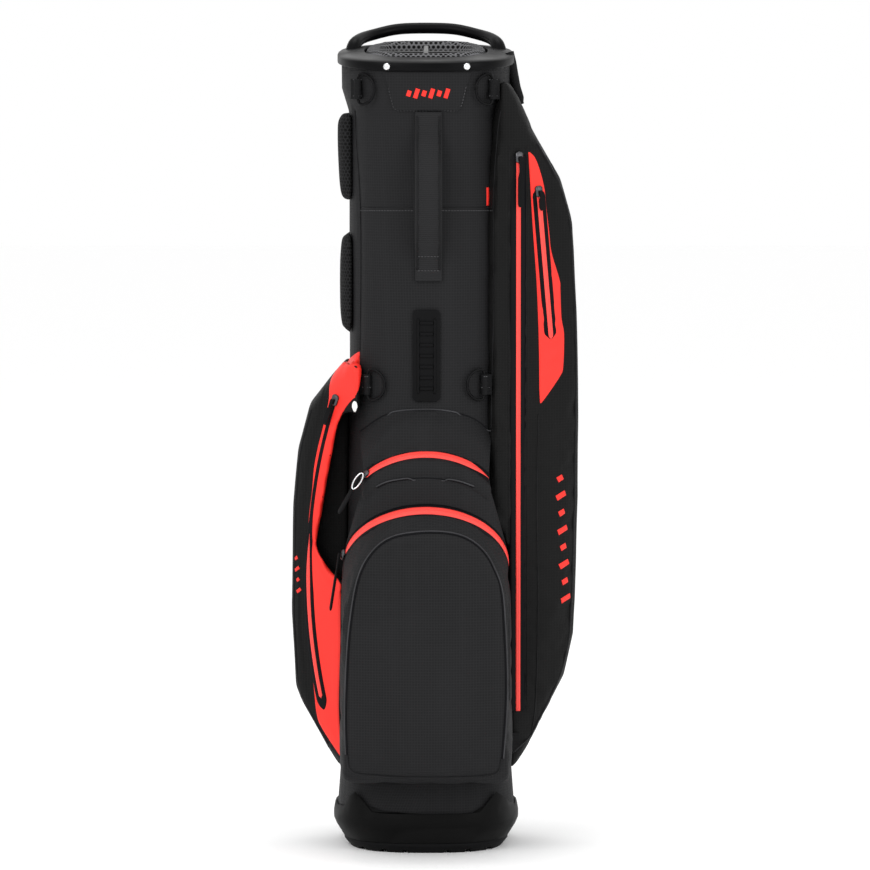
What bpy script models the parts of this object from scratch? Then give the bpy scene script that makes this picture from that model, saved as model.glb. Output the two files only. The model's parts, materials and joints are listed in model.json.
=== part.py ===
"""Golf stand bag: a stiffened fabric tube with a moulded collar and base, fabric pockets,
zips, D-rings and two folding legs worked by a hinged foot plate.

Units are metres.  +Z is up, the ball pocket faces -Y and the legs are stowed at +Y.
The underside of the sole lies in the plane z = 0.
"""

import math

import bmesh
import bpy
from mathutils import Vector

# ---- body tube -------------------------------------------------------------------------
ROUNDNESS = 2.6            # exponent of the oval sections
SEGMENTS = 48              # points round the tube
WALL = 0.0025              # thickness of the stiffened fabric wall
GAP = 0.0005               # clearance between touching pieces
BODY = (                   # height, half width, half depth
    (0.0375, 0.0935, 0.0985),
    (0.0850, 0.0902, 0.0958),
    (0.3000, 0.0830, 0.0920),
    (0.5200, 0.0802, 0.0912),
    (0.7750, 0.0805, 0.0930),
    (0.8000, 0.0880, 0.0965),
    (0.8320, 0.0885, 0.0985),
)
RIM_HEIGHT = 0.8405        # top of the collar over the tube axis
RIM_SLOPE = 0.085          # the mouth tilts down towards the front

# ---- collar, handle and mouth ----------------------------------------------------------
COLLAR_HALF = (0.0932, 0.1030)
MOUTH_HALF = (0.0650, 0.0790)
CUFF_HALF = (0.0640, 0.0780)
WELL_HALF = (0.0460, 0.0600)
HANDLE_HALF = (0.0795, 0.0915)
HANDLE_TOP = 0.8680
HANDLE_THICK = 0.0116

# ---- pockets ---------------------------------------------------------------------------
RIGHT_FACET = ((0.0700, -0.0830), 0.472)     # a point of the zip facet and its slope dy/dx
RIGHT_CORNER_X = 0.1060
RIGHT_SLOPE = 0.55                           # slope of the red panel's facet
RIGHT_REACH = (                              # height, how far the pocket stands out
    (0.0870, 0.0910), (0.1069, 0.1048), (0.1525, 0.1303), (0.1812, 0.1451), (0.2248, 0.1551),
    (0.3013, 0.1585), (0.4500, 0.1610), (0.5668, 0.1585), (0.6624, 0.1531), (0.7049, 0.1408),
    (0.7559, 0.1112), (0.7814, 0.1006), (0.8080, 0.0870),
)
LEFT_FACET = ((-0.0700, -0.0870), 0.80)
LEFT_REACH = (
    (0.0870, 0.0900), (0.1069, 0.1038), (0.1504, 0.1292), (0.1695, 0.1377), (0.2471, 0.1415),
    (0.3607, 0.1398), (0.4213, 0.1345), (0.4659, 0.1222), (0.4946, 0.1006), (0.5120, 0.0850),
)
SLEEVE_EDGE = (                              # height and outer edge of the open sleeve
    (0.2820, 0.0850), (0.2960, 0.1038), (0.3220, 0.1165), (0.3580, 0.1101), (0.3910, 0.1048),
    (0.4180, 0.0995), (0.4450, 0.0943), (0.4620, 0.0868),
)
BALL_CENTRE = Vector((0.0, -0.0760, 0.3010))
BALL_UP = Vector((0.0, -0.674, 0.7387)).normalized()
BALL_RADIUS = 0.0865
UPPER_CENTRE = Vector((0.0, -0.0695, 0.3530))
UPPER_UP = Vector((0.0, -0.570, 0.8216)).normalized()
UPPER_RADIUS = 0.0835
SIDEWAYS = Vector((1.0, 0.0, 0.0))

# ---- folding legs ----------------------------------------------------------------------
LEG_X = 0.0550
LEG_Y = 0.1100
LEG_PIVOT_Z = 0.8000
LEG_SPLAY = math.radians(25.0)
LEG_LENGTH = 0.7550
CLIP_DROP = 0.1200
ROD_OFFSET = 0.0130
ROD_END_Z = 0.0120
FOOT_HINGE = (0.0440, 0.0150)                # y and z of the foot plate's pin
FOOT_HALF_WIDTH = 0.0480

MATERIALS = {                                # colour, roughness, metallic
    "body_fabric": ((0.026, 0.027, 0.029), 0.85, 0.0),
    "pocket_fabric": ((0.012, 0.012, 0.013), 0.85, 0.0),
    "padding": ((0.016, 0.016, 0.017), 0.95, 0.0),
    "air_mesh": ((0.070, 0.072, 0.075), 0.95, 0.0),
    "webbing": ((0.010, 0.010, 0.011), 0.80, 0.0),
    "moulded_plastic": ((0.010, 0.010, 0.011), 0.42, 0.0),
    "divider_fabric": ((0.030, 0.030, 0.032), 0.90, 0.0),
    "rubber": ((0.013, 0.013, 0.013), 0.70, 0.0),
    "chrome": ((0.80, 0.80, 0.82), 0.12, 1.0),
    "spring_steel": ((0.36, 0.36, 0.38), 0.35, 1.0),
    "leg_aluminium": ((0.060, 0.060, 0.065), 0.40, 1.0),
    "glass_fibre": ((0.55, 0.53, 0.46), 0.50, 0.0),
    "zip_metal": ((0.10, 0.10, 0.11), 0.35, 1.0),
    "pull_rubber": ((0.014, 0.014, 0.014), 0.60, 0.0),
}


# ---- basic helpers ---------------------------------------------------------------------
def clear_scene():
    for obj in list(bpy.data.objects):
        bpy.data.objects.remove(obj, do_unlink=True)


def material(slot):
    found = bpy.data.materials.get(slot)
    if found is not None:
        return found
    colour, roughness, metallic = MATERIALS[slot]
    made = bpy.data.materials.new(slot)
    made.use_nodes = True
    shader = made.node_tree.nodes["Principled BSDF"]
    shader.inputs["Base Color"].default_value = (*colour, 1.0)
    shader.inputs["Roughness"].default_value = roughness
    shader.inputs["Metallic"].default_value = metallic
    return made


def mesh_object(name, verts, faces, slot=None):
    mesh = bpy.data.meshes.new(name)
    mesh.from_pydata([tuple(v) for v in verts], [], faces)
    bm = bmesh.new()
    bm.from_mesh(mesh)
    bmesh.ops.recalc_face_normals(bm, faces=bm.faces)
    bm.to_mesh(mesh)
    bm.free()
    obj = bpy.data.objects.new(name, mesh)
    bpy.context.scene.collection.objects.link(obj)
    if slot is not None:
        mesh.materials.append(material(slot))
    return obj


def loft(name, rings, slot=None, wrap=False, strip=False):
    """Skin a row of equal point loops; the ends are closed unless the row wraps round."""
    count = len(rings[0])
    verts = [p for ring in rings for p in ring]
    faces = []
    spans = len(rings) if wrap else len(rings) - 1
    for i in range(spans):
        here = i * count
        there = ((i + 1) % len(rings)) * count
        for j in range(count):
            k = (j + 1) % count
            faces.append((here + j, here + k, there + k, there + j))
    if not wrap:
        for start in (0, (len(rings) - 1) * count):
            if strip:
                half = count // 2
                for j in range(half - 1):
                    a = start + j
                    b = start + count - 1 - j
                    faces.append((a, a + 1, b - 1, b))
            else:
                faces.append(tuple(range(start, start + count)))
    return mesh_object(name, verts, faces, slot)


def evaluate_onto(obj):
    depsgraph = bpy.context.evaluated_depsgraph_get()
    mesh = bpy.data.meshes.new_from_object(obj.evaluated_get(depsgraph), depsgraph=depsgraph)
    old = obj.data
    obj.modifiers.clear()
    obj.data = mesh
    bpy.data.meshes.remove(old)


def combine(target, tool, operation="DIFFERENCE", keep_tool=False):
    step = target.modifiers.new("Cut", "BOOLEAN")
    step.operation = operation
    step.solver = "EXACT"
    step.object = tool
    evaluate_onto(target)
    if not keep_tool:
        bpy.data.objects.remove(tool, do_unlink=True)
    return target


def set_pivot(obj, pivot):
    pivot = Vector(pivot)
    for vertex in obj.data.vertices:
        vertex.co = vertex.co - pivot
    obj.location = pivot
    return obj


def finish_surface(obj, angle=35.0):
    bm = bmesh.new()
    bm.from_mesh(obj.data)
    bmesh.ops.remove_doubles(bm, verts=bm.verts, dist=0.00001)
    bmesh.ops.dissolve_degenerate(bm, edges=bm.edges, dist=0.00001)
    bm.to_mesh(obj.data)
    bm.free()
    obj.data.shade_smooth()
    obj.data.set_sharp_from_angle(angle=math.radians(angle))


def interpolate(table, height):
    """Straight-line value of a (height, value...) table."""
    if height <= table[0][0]:
        return table[0][1:]
    for low, high in zip(table, table[1:]):
        if height <= high[0]:
            t = (height - low[0]) / (high[0] - low[0])
            return tuple(a + (b - a) * t for a, b in zip(low[1:], high[1:]))
    return table[-1][1:]


def oval_point(half_x, half_y, degrees):
    c = math.cos(math.radians(degrees))
    s = math.sin(math.radians(degrees))
    power = 2.0 / ROUNDNESS
    x = half_x * math.copysign(abs(c) ** power, c)
    y = half_y * math.copysign(abs(s) ** power, s)
    return x, y


def oval_ring(half_x, half_y, height, slope=0.0, count=SEGMENTS):
    ring = []
    for i in range(count):
        x, y = oval_point(half_x, half_y, 360.0 * i / count)
        ring.append((x, y, height + slope * y))
    return ring


def body_point(degrees, height, outward=0.0):
    half_x, half_y = interpolate(BODY, height)
    x, y = oval_point(half_x, half_y, degrees)
    nx = math.copysign(abs(x / half_x) ** (ROUNDNESS - 1.0) / half_x, x)
    ny = math.copysign(abs(y / half_y) ** (ROUNDNESS - 1.0) / half_y, y)
    size = math.hypot(nx, ny)
    return x + outward * nx / size, y + outward * ny / size, height


def body_front(x, height):
    half_x, half_y = interpolate(BODY, height)
    share = 1.0 - abs(x / half_x) ** ROUNDNESS
    return -half_y * share ** (1.0 / ROUNDNESS)


def body_cutter():
    rings = [oval_ring(a + GAP, b + GAP, z) for z, a, b in BODY]
    rings.insert(0, oval_ring(BODY[0][1] + GAP, BODY[0][2] + GAP, 0.0))
    rings.append(oval_ring(BODY[-1][1] + GAP, BODY[-1][2] + GAP, 0.9))
    return loft("body_cutter", rings)


def box(name, centre, halves, axes=None, slot=None):
    if axes is None:
        axes = (Vector((1, 0, 0)), Vector((0, 1, 0)), Vector((0, 0, 1)))
    centre = Vector(centre)
    rings = []
    for w in (-1, 1):
        ring = []
        for u, v in ((-1, -1), (1, -1), (1, 1), (-1, 1)):
            ring.append(centre + axes[0] * (u * halves[0]) + axes[1] * (v * halves[1])
                        + axes[2] * (w * halves[2]))
        rings.append(ring)
    return loft(name, rings, slot)


def circle(centre, axis, radius, count):
    axis = Vector(axis).normalized()
    guide = Vector((0, 0, 1)) if abs(axis.z) < 0.9 else Vector((1, 0, 0))
    side = guide.cross(axis).normalized()
    other = axis.cross(side)
    ring = []
    for i in range(count):
        a = 2.0 * math.pi * i / count
        ring.append(Vector(centre) + side * (radius * math.cos(a)) + other * (radius * math.sin(a)))
    return ring


def rod(name, start, end, radius, count=16, slot=None, chamfer=0.0):
    start = Vector(start)
    end = Vector(end)
    axis = (end - start).normalized()
    if chamfer <= 0.0:
        rings = [circle(start, axis, radius, count), circle(end, axis, radius, count)]
    else:
        rings = [
            circle(start, axis, radius - chamfer, count),
            circle(start + axis * chamfer, axis, radius, count),
            circle(end - axis * chamfer, axis, radius, count),
            circle(end, axis, radius - chamfer, count),
        ]
    return loft(name, rings, slot)


def pipe(name, start, end, outer, inner, count=16, slot=None):
    start = Vector(start)
    end = Vector(end)
    axis = end - start
    rings = [
        circle(start, axis, outer, count),
        circle(end, axis, outer, count),
        circle(end, axis, inner, count),
        circle(start, axis, inner, count),
    ]
    return loft(name, rings, slot, wrap=True)


# ---- tube, collar and mouth ------------------------------------------------------------
def body_shell():
    outer = []
    inner = []
    for z, a, b in BODY[:-1]:
        outer.append(oval_ring(a, b, z))
        inner.append(oval_ring(a - WALL, b - WALL, z))
    z, a, b = BODY[-1]
    outer.append(oval_ring(a, b, RIM_HEIGHT - 0.0085, RIM_SLOPE))
    inner.append(oval_ring(a - WALL, b - WALL, RIM_HEIGHT - 0.0085, RIM_SLOPE))
    return loft("body_shell", outer + inner[::-1], "body_fabric", wrap=True)


def top_collar():
    a, b = COLLAR_HALF
    profile = (
        (a, b, -0.0125), (a, b, -0.0050), (a - 0.0020, b - 0.0020, -0.0036),
        (a - 0.0080, b - 0.0080, -0.0030), (MOUTH_HALF[0], MOUTH_HALF[1], -0.0005),
        (MOUTH_HALF[0], MOUTH_HALF[1], -0.0080),
        (0.0890, 0.0990, -0.0080), (0.0890, 0.0990, -0.0125),
    )
    rings = [oval_ring(p, q, RIM_HEIGHT + dz, RIM_SLOPE) for p, q, dz in profile]
    return loft("top_collar", rings, "moulded_plastic", wrap=True)


def handle_heights(degrees, y):
    """Underside and top of the lift handle at one place along its arch."""
    away = abs(degrees - 90.0)
    seat = RIM_HEIGHT + RIM_SLOPE * y - 0.0010
    top = HANDLE_TOP - 0.0110 * (away / 62.0) ** 2
    if away > 62.0:
        top = top - 0.0095 * (away - 62.0) / 12.0
    rise = min(max((40.0 - away) / 7.0, 0.0), 1.0)
    under = seat + (top - HANDLE_THICK - seat) * rise
    return under, max(top, under + 0.004)


def lift_handle():
    half = [16, 20, 26, 34, 42, 47, 50, 53, 57, 64, 73, 82]
    stations = half + [90] + [180 - degrees for degrees in reversed(half)]
    loops = []
    for degrees in stations:
        x, y = oval_point(HANDLE_HALF[0], HANDLE_HALF[1], degrees)
        under, top = handle_heights(degrees, y)
        out = Vector((x / HANDLE_HALF[0] ** 2, y / HANDLE_HALF[1] ** 2, 0.0)).normalized()
        loop = []
        for side, lift in ((-0.55, 0.0), (0.55, 0.0), (1.0, 0.28), (1.0, 0.72),
                           (0.55, 1.0), (-0.55, 1.0), (-1.0, 0.72), (-1.0, 0.28)):
            base = Vector((x, y, under + (top - under) * lift))
            loop.append(base + out * (side * 0.0065))
        loops.append(loop)
    return loft("lift_handle", loops, "moulded_plastic")


def cuff_padding():
    a, b = CUFF_HALF
    p, q = WELL_HALF
    profile = (
        (a, b, -0.0280), (a, b, -0.0030), (a - 0.003, b - 0.003, 0.0015),
        ((a + p) / 2, (b + q) / 2, 0.0035), (p + 0.003, q + 0.003, 0.0015),
        (p, q, -0.0035), (p, q, -0.0280),
    )
    rings = [oval_ring(u, v, RIM_HEIGHT + dz, RIM_SLOPE, 40) for u, v, dz in profile]
    return loft("cuff_padding", rings, "air_mesh", wrap=True)


def top_divider():
    reach_x = WELL_HALF[0] - 0.0006
    reach_y = WELL_HALF[1] - 0.0006
    t = 0.0025
    outline = (
        (reach_x, -t), (reach_x, t), (t, t), (t, reach_y), (-t, reach_y), (-t, t),
        (-reach_x, t), (-reach_x, -t), (-t, -t), (-t, -reach_y), (t, -reach_y), (t, -t),
    )
    rings = []
    for dz in (-0.0300, -0.0020):
        rings.append([(x, y, RIM_HEIGHT + dz + RIM_SLOPE * y) for x, y in outline])
    return loft("top_divider", rings, "moulded_plastic")


def divider_panels():
    low, high = 0.0520, 0.7980
    middle = (low + high) / 2
    tall = (high - low) / 2
    box("divider_panel_wide", (0, 0, middle), (0.0760, 0.0010, tall), slot="divider_fabric")
    box("divider_panel_front", (0, -0.0446, middle), (0.0010, 0.0431, tall), slot="divider_fabric")
    box("divider_panel_rear", (0, 0.0446, middle), (0.0010, 0.0431, tall), slot="divider_fabric")


def stays():
    for side, name in ((-1, "stay_left"), (1, "stay_right")):
        rod(name, (side * 0.045, 0.068, 0.0520), (side * 0.045, 0.068, 0.8300), 0.0025, 8,
            "glass_fibre")


# ---- base ------------------------------------------------------------------------------
def rim_height(degrees):
    """Top edge of the boot: low at the sides and back, with two ears at the front."""
    off = abs(((degrees - 270.0 + 180.0) % 360.0) - 180.0)
    ear = math.exp(-((off - 47.0) / 9.0) ** 2)
    return 0.0430 + 0.0215 * ear


def base_boot():
    rings = [
        oval_ring(0.0880, 0.0935, 0.0106),
        oval_ring(0.0950, 0.1005, 0.0220),
        oval_ring(0.0980, 0.1035, 0.0290),
        oval_ring(0.0980, 0.1035, 0.0350),
    ]
    top = []
    for i in range(SEGMENTS):
        degrees = 360.0 * i / SEGMENTS
        x, y = oval_point(0.0965, 0.1022, degrees)
        top.append((x, y, rim_height(degrees)))
    rings.append(top)
    boot = loft("base_boot", rings, "moulded_plastic")
    hollow = loft("hollow", [
        oval_ring(0.0820, 0.0875, 0.0060),
        oval_ring(0.0915, 0.0970, 0.0220),
        oval_ring(0.0945, 0.1002, 0.0350),
        oval_ring(0.0945, 0.1002, 0.0900),
    ])
    floor = ((-0.15, 0.0140), (0.0330, 0.0140), (0.0335, 0.0248), (0.0500, 0.0248),
             (0.0940, 0.0322), (0.15, 0.0420), (0.15, 0.12), (-0.15, 0.12))
    above = loft("above", [[(x, y, z) for y, z in floor] for x in (-0.15, 0.15)])
    combine(hollow, above, "INTERSECT")
    combine(boot, hollow)
    recess = ((0.0375, 0.0), (0.0375, 0.0215), (0.0500, 0.0215), (0.0940, 0.0290),
              (0.15, 0.0385), (0.15, 0.0))
    wide = FOOT_HALF_WIDTH + 0.0008
    combine(boot, loft("recess", [[(x, y, z) for y, z in recess] for x in (-wide, wide)]))
    y, z = FOOT_HINGE
    combine(boot, rod("bore", (-0.0568, y, z), (0.0568, y, z), 0.0024, 12))
    return boot


def base_sole():
    """Rubber tread under the front of the boot, cut straight where the foot plate begins."""
    back = 0.0368
    rings = []
    for half_x, half_y, z in ((0.0810, 0.0880, 0.0), (0.0870, 0.0930, 0.0070), (0.0870, 0.0930, 0.0102)):
        ring = []
        for i in range(SEGMENTS):
            x, y = oval_point(half_x, half_y, 360.0 * i / SEGMENTS)
            if y > back:
                continue
            ring.append((x, y, z))
        rings.append(ring)
    clipped = []
    for ring in rings:
        first = [p for p in ring if p[1] > 0.0]
        right = max(first, key=lambda p: p[0] + p[1])
        left = max(first, key=lambda p: p[1] - p[0])
        loop = [(right[0], back, right[2])]
        loop.append((left[0], back, left[2]))
        rest = [p for p in ring if p[1] <= right[1] + 1e-6]
        rest.sort(key=lambda p: math.atan2(p[1] - back, p[0]) % (2 * math.pi))
        clipped.append(loop + rest)
    sole = loft("base_sole", clipped, "rubber")
    for x in (-0.066, -0.044, -0.022, 0.022, 0.044, 0.066):
        combine(sole, box("groove", (x, -0.030, 0.0), (0.0028, 0.0800, 0.0028)))
    return sole


def stand_foot():
    y0, z0 = FOOT_HINGE
    outline = ((y0 - 0.0020, 0.0008), (0.0960, 0.0008), (0.0960, 0.0070), (0.0560, 0.0080),
               (y0 + 0.0050, z0), (y0 + 0.0035, z0 + 0.0036), (y0, z0 + 0.0050),
               (y0 - 0.0035, z0 + 0.0036), (y0 - 0.0050, z0))
    wide = FOOT_HALF_WIDTH
    foot = loft("stand_foot", [[(x, y, z) for y, z in outline] for x in (-wide, wide)], "rubber")
    for side in (-1, 1):
        lug = box("lug", (side * 0.0425, 0.1010, 0.0036), (0.0050, 0.0090, 0.0026))
        combine(foot, lug, "UNION")
    combine(foot, rod("bore", (-0.06, y0, z0), (0.06, y0, z0), 0.0024, 12))
    return set_pivot(foot, (0.0, y0, z0))


def foot_pin():
    y, z = FOOT_HINGE
    rod("foot_pin", (-0.0560, y, z), (0.0560, y, z), 0.0020, 12, "spring_steel")


# ---- front pockets ---------------------------------------------------------------------
def arc_point(centre, up, radius, degrees, forward):
    """Point of a pocket's zip arch, moved along the arch's own axis."""
    a = math.radians(degrees)
    axis = SIDEWAYS.cross(up)
    return centre + (SIDEWAYS * math.sin(a) + up * math.cos(a)) * radius + axis * forward


def ball_rows(grow=0.0):
    """Outer skin of the ball pocket, bottom row first."""
    angles = [-90.0 + 10.0 * j for j in range(19)]
    radius = BALL_RADIUS + grow
    edge = []
    for a in angles:
        forward = 0.034 + 0.051 * abs(math.sin(math.radians(a))) ** 4 + grow
        edge.append(arc_point(BALL_CENTRE, BALL_UP, radius, a, forward))
    rows = []
    for z, push in ((0.0790, -0.0450), (0.0840, -0.0170), (0.0960, -0.0030), (0.1500, 0.0030),
                    (0.2150, 0.0040)):
        row = []
        for p, a in zip(edge, angles):
            mid = math.cos(math.radians(a))
            y = p.y - push * (0.35 + 0.65 * mid) if push > 0 else p.y - push * (0.55 + 0.45 * mid)
            row.append(Vector((p.x, y - grow, z - grow if z < 0.09 else z)))
        rows.append(row)
    rows.append(edge)
    rows.append([arc_point(BALL_CENTRE, BALL_UP, radius, a, -0.009) for a in angles])
    return rows


def ball_pocket():
    turns = [202.5 + 7.5 * j for j in range(19)]
    rows = ball_rows()
    loops = []
    for i, row in enumerate(rows):
        back = []
        for j, p in enumerate(row):
            z = p.z
            if i == len(rows) - 1:
                z = p.z + 0.006
            back.append(Vector(body_point(turns[j], z, 0.0009)))
        loops.append(list(row) + back[::-1])
    pocket = loft("ball_pocket", loops, "body_fabric", strip=True)
    return combine(pocket, body_cutter())


def ball_cutter():
    """The ball pocket with its clearance, run back into the tube, for trimming its neighbours."""
    loops = []
    rows = ball_rows(0.0009)
    for i, row in enumerate(rows):
        shift = {0: -0.006, len(rows) - 1: 0.010}.get(i, 0.0)
        back = [Vector((p.x * 1.005, -0.040, p.z + shift)) for p in row]
        loops.append(list(row) + back[::-1])
    return loft("ball_cutter", loops, strip=True)


def upper_pocket():
    angles = [-54.0 + 9.0 * j for j in range(13)]
    turns = [225.0 + 7.5 * j for j in range(13)]
    back_arc = [arc_point(UPPER_CENTRE, UPPER_UP, UPPER_RADIUS, a, -0.008) for a in angles]
    front_arc = [arc_point(UPPER_CENTRE, UPPER_UP, UPPER_RADIUS, a, 0.012) for a in angles]
    top_back = []
    low_back = []
    low = []
    mid = []
    top = []
    for j, a in enumerate(angles):
        share = 1.0 - (abs(a) / 54.0) ** 2
        z_top = 0.4450 + 0.0220 * share
        z_low = 0.3600 + 0.0250 * share
        top.append(Vector(body_point(turns[j], z_top, 0.0035)))
        top_back.append(Vector(body_point(turns[j], z_top, 0.0009)))
        low_back.append(Vector(body_point(turns[j], z_low, 0.0009)))
        front = front_arc[j]
        mid.append(Vector((front.x, front.y - 0.002, front.z - 0.010)))
        low.append(Vector((front.x * 0.99, front.y + 0.006, z_low + 0.001)))
    arc_back = [Vector(body_point(turns[j], p.z, 0.0009)) for j, p in enumerate(back_arc)]
    front_back = [Vector(body_point(turns[j], p.z, 0.0009)) for j, p in enumerate(front_arc)]
    mid_back = [Vector(body_point(turns[j], p.z, 0.0009)) for j, p in enumerate(mid)]
    loops = [
        low + low_back[::-1], mid + mid_back[::-1], front_arc + front_back[::-1],
        back_arc + arc_back[::-1], top + top_back[::-1],
    ]
    pocket = loft("upper_pocket", loops, "body_fabric", strip=True)
    return combine(pocket, body_cutter())


# ---- side pockets ----------------------------------------------------------------------
def right_pocket():
    (x0, y0), slope = RIGHT_FACET
    rings = []
    for z, reach in RIGHT_REACH:
        start = 0.0712 + 0.0090 * min(max((z - 0.690) / 0.100, 0.0), 1.0)
        corner = min(RIGHT_CORNER_X, start + 0.60 * (reach - start))
        turn = reach - min(0.012, 0.35 * (reach - corner))
        corner_y = y0 + slope * (corner - x0)
        turn_y = corner_y + RIGHT_SLOPE * (turn - corner)
        side_y = turn_y + 0.0190
        back = min(reach - 0.010, 0.150)
        ring = [
            (start - 0.0060, -0.0400), (start, y0 + slope * (start - x0)), (corner, corner_y),
            (turn, turn_y), (reach - 0.0015, turn_y + 0.0070), (reach, side_y), (reach, 0.0150),
            (max(reach - 0.004, 0.084), 0.0300), (max(back, 0.080), 0.0430),
            (max(0.62 * back, 0.078), 0.0530), (0.0500, 0.0480),
        ]
        rings.append([(x, y, z) for x, y in ring])
    pocket = loft("right_pocket", rings, "pocket_fabric")
    combine(pocket, body_cutter())
    return combine(pocket, ball_cutter())


def left_pocket():
    (x0, y0), slope = LEFT_FACET
    rings = []
    for z, reach in LEFT_REACH:
        start = 0.0710
        corner = max(reach - 0.0170, start + 0.55 * (reach - start))
        corner_y = y0 + slope * (corner + x0)
        side_y = corner_y + 0.0230
        ring = [
            (-0.0660, -0.0400), (-start, y0 + slope * (start + x0)), (-corner, corner_y),
            (-(reach - 0.0040), corner_y + 0.0110), (-reach, side_y), (-reach, 0.0200),
            (-max(reach - 0.010, 0.082), 0.0420), (-max(0.62 * reach, 0.078), 0.0600),
            (-0.0500, 0.0560),
        ]
        rings.append([(x, y, z) for x, y in ring])
    pocket = loft("left_pocket", rings, "pocket_fabric")
    combine(pocket, body_cutter())
    combine(pocket, ball_cutter())
    outline = [(-x, z) for z, x in SLEEVE_EDGE] + [(-0.050, 0.4640), (-0.050, 0.2800)]
    void = loft("void", [[(x, y, z) for x, z in outline] for y in (-0.15, -0.022)])
    return combine(pocket, void)


# ---- trim on the body ------------------------------------------------------------------
def hugging_patch(name, slot, turns, rows):
    """Solid laid on the tube: rows of (height, thickness), columns at the given turns."""
    loops = []
    for z, thick in rows:
        inner = []
        outer = []
        for j, turn in enumerate(turns):
            edge = 0.45 if j in (0, len(turns) - 1) else 1.0
            inner.append(body_point(turn, z, GAP + 0.0001))
            outer.append(body_point(turn, z, GAP + 0.0001 + thick * edge))
        loops.append(outer + inner[::-1])
    return loft(name, loops, slot, strip=True)


def hip_pads():
    turns = [157.5 + 7.5 * j for j in range(7)]
    upper = ((0.6815, 0.0030), (0.6870, 0.0085), (0.7000, 0.0100), (0.7400, 0.0115),
             (0.7640, 0.0120), (0.7720, 0.0085), (0.7745, 0.0030))
    lower = ((0.5440, 0.0030), (0.5500, 0.0080), (0.5650, 0.0095), (0.6200, 0.0095),
             (0.6420, 0.0080), (0.6480, 0.0030))
    hugging_patch("hip_pad_upper", "padding", turns, upper)
    hugging_patch("hip_pad_lower", "padding", turns, lower)


def front_plate(name, slot, edges, thickness, columns=7):
    """Thin plate on the front of the tube between side edges given by (height, left, right)."""
    loops = []
    for z, left, right in edges:
        inner = []
        outer = []
        for j in range(columns):
            x = left + (right - left) * j / (columns - 1)
            y = body_front(x, z)
            inner.append((x, y - 0.0008, z))
            outer.append((x, y - 0.0008 - thickness, z))
        loops.append(outer + inner[::-1])
    return loft(name, loops, slot, strip=True)


def badge_flap():
    edges = ((0.7778, -0.0290, 0.0320), (0.7805, -0.0335, 0.0365), (0.8000, -0.0385, 0.0415),
             (0.8178, -0.0440, 0.0475))
    front_plate("badge_flap", "webbing", edges, 0.0020)


def grip_patch():
    edges = ((0.4750, -0.0100, 0.0110), (0.4780, -0.0138, 0.0148), (0.5200, -0.0138, 0.0148),
             (0.5680, -0.0138, 0.0148), (0.5710, -0.0100, 0.0110))
    front_plate("grip_patch", "rubber", edges, 0.0026, columns=5)


def grab_handle():
    centre_x = 0.0027
    half = 0.0140
    path = ((0.7765, 0.0009), (0.7610, 0.0010), (0.7520, 0.0040), (0.7370, 0.0150),
            (0.7170, 0.0225), (0.6900, 0.0250), (0.6640, 0.0225), (0.6430, 0.0150),
            (0.6270, 0.0040), (0.6180, 0.0010), (0.6010, 0.0009))
    points = []
    for z, off in path:
        points.append(Vector((centre_x, -interpolate(BODY, z)[1] - off, z)))
    loops = []
    for i, p in enumerate(points):
        before = points[max(i - 1, 0)]
        after = points[min(i + 1, len(points) - 1)]
        along = (after - before).normalized()
        out = along.cross(SIDEWAYS).normalized()
        if out.y > 0:
            out = -out
        loop = []
        for u, w in ((-1, 0), (1, 0), (1, 0.6), (0.82, 1), (-0.82, 1), (-1, 0.6)):
            loop.append(p + SIDEWAYS * (u * half) + out * (w * 0.0038))
        loops.append(loop)
    return loft("grab_handle", loops, "webbing")


def rivet(name, x):
    power = 1.0 / ROUNDNESS
    y = -COLLAR_HALF[1] * (1.0 - abs(x / COLLAR_HALF[0]) ** ROUNDNESS) ** power
    nx = math.copysign(abs(x / COLLAR_HALF[0]) ** (ROUNDNESS - 1) / COLLAR_HALF[0], x)
    ny = -abs(y / COLLAR_HALF[1]) ** (ROUNDNESS - 1) / COLLAR_HALF[1]
    out = Vector((nx, ny, 0.0)).normalized()
    base = Vector((x, y, RIM_HEIGHT + RIM_SLOPE * y - 0.0086)) + out * 0.0005
    rings = []
    for radius, lift in ((0.0036, 0.0), (0.0036, 0.0005), (0.0029, 0.0013), (0.0015, 0.0017)):
        rings.append(circle(base + out * lift, out, radius, 14))
    return loft(name, rings, "chrome")


def umbrella_tab():
    """Folded webbing that hangs from beside the collar over the top of the right pocket."""
    path = ((0.0940, 0.8350), (0.0955, 0.8250), (0.0985, 0.8120), (0.1020, 0.7980),
            (0.1030, 0.7935))
    loops = []
    for i, (x, z) in enumerate(path):
        thick = 0.0018 if i in (0, len(path) - 1) else 0.0034
        loops.append([(x, -0.024, z), (x + thick, -0.024, z), (x + thick, 0.002, z), (x, 0.002, z)])
    return loft("umbrella_tab", loops, "webbing")


def webbing_tab():
    (x0, y0), slope = RIGHT_FACET
    along = Vector((1.0, slope, 0.0)).normalized()
    out = Vector((slope, -1.0, 0.0)).normalized()
    centre = Vector((0.0930, y0 + slope * (0.0930 - x0), 0.1150)) + out * 0.0017
    return box("webbing_tab", centre, (0.0045, 0.0012, 0.0100), (along, out, Vector((0, 0, 1))),
               "webbing")


# ---- D-rings ---------------------------------------------------------------------------
D_RINGS = {                    # bar position, direction to the middle, height, material
    "upper_left": (-0.0678, 0.8000, "spring_steel"),
    "upper_right": (0.0665, 0.8000, "moulded_plastic"),
    "lower_left": (-0.0585, 0.4920, "moulded_plastic"),
    "lower_right": (0.0585, 0.4920, "moulded_plastic"),
}


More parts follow.
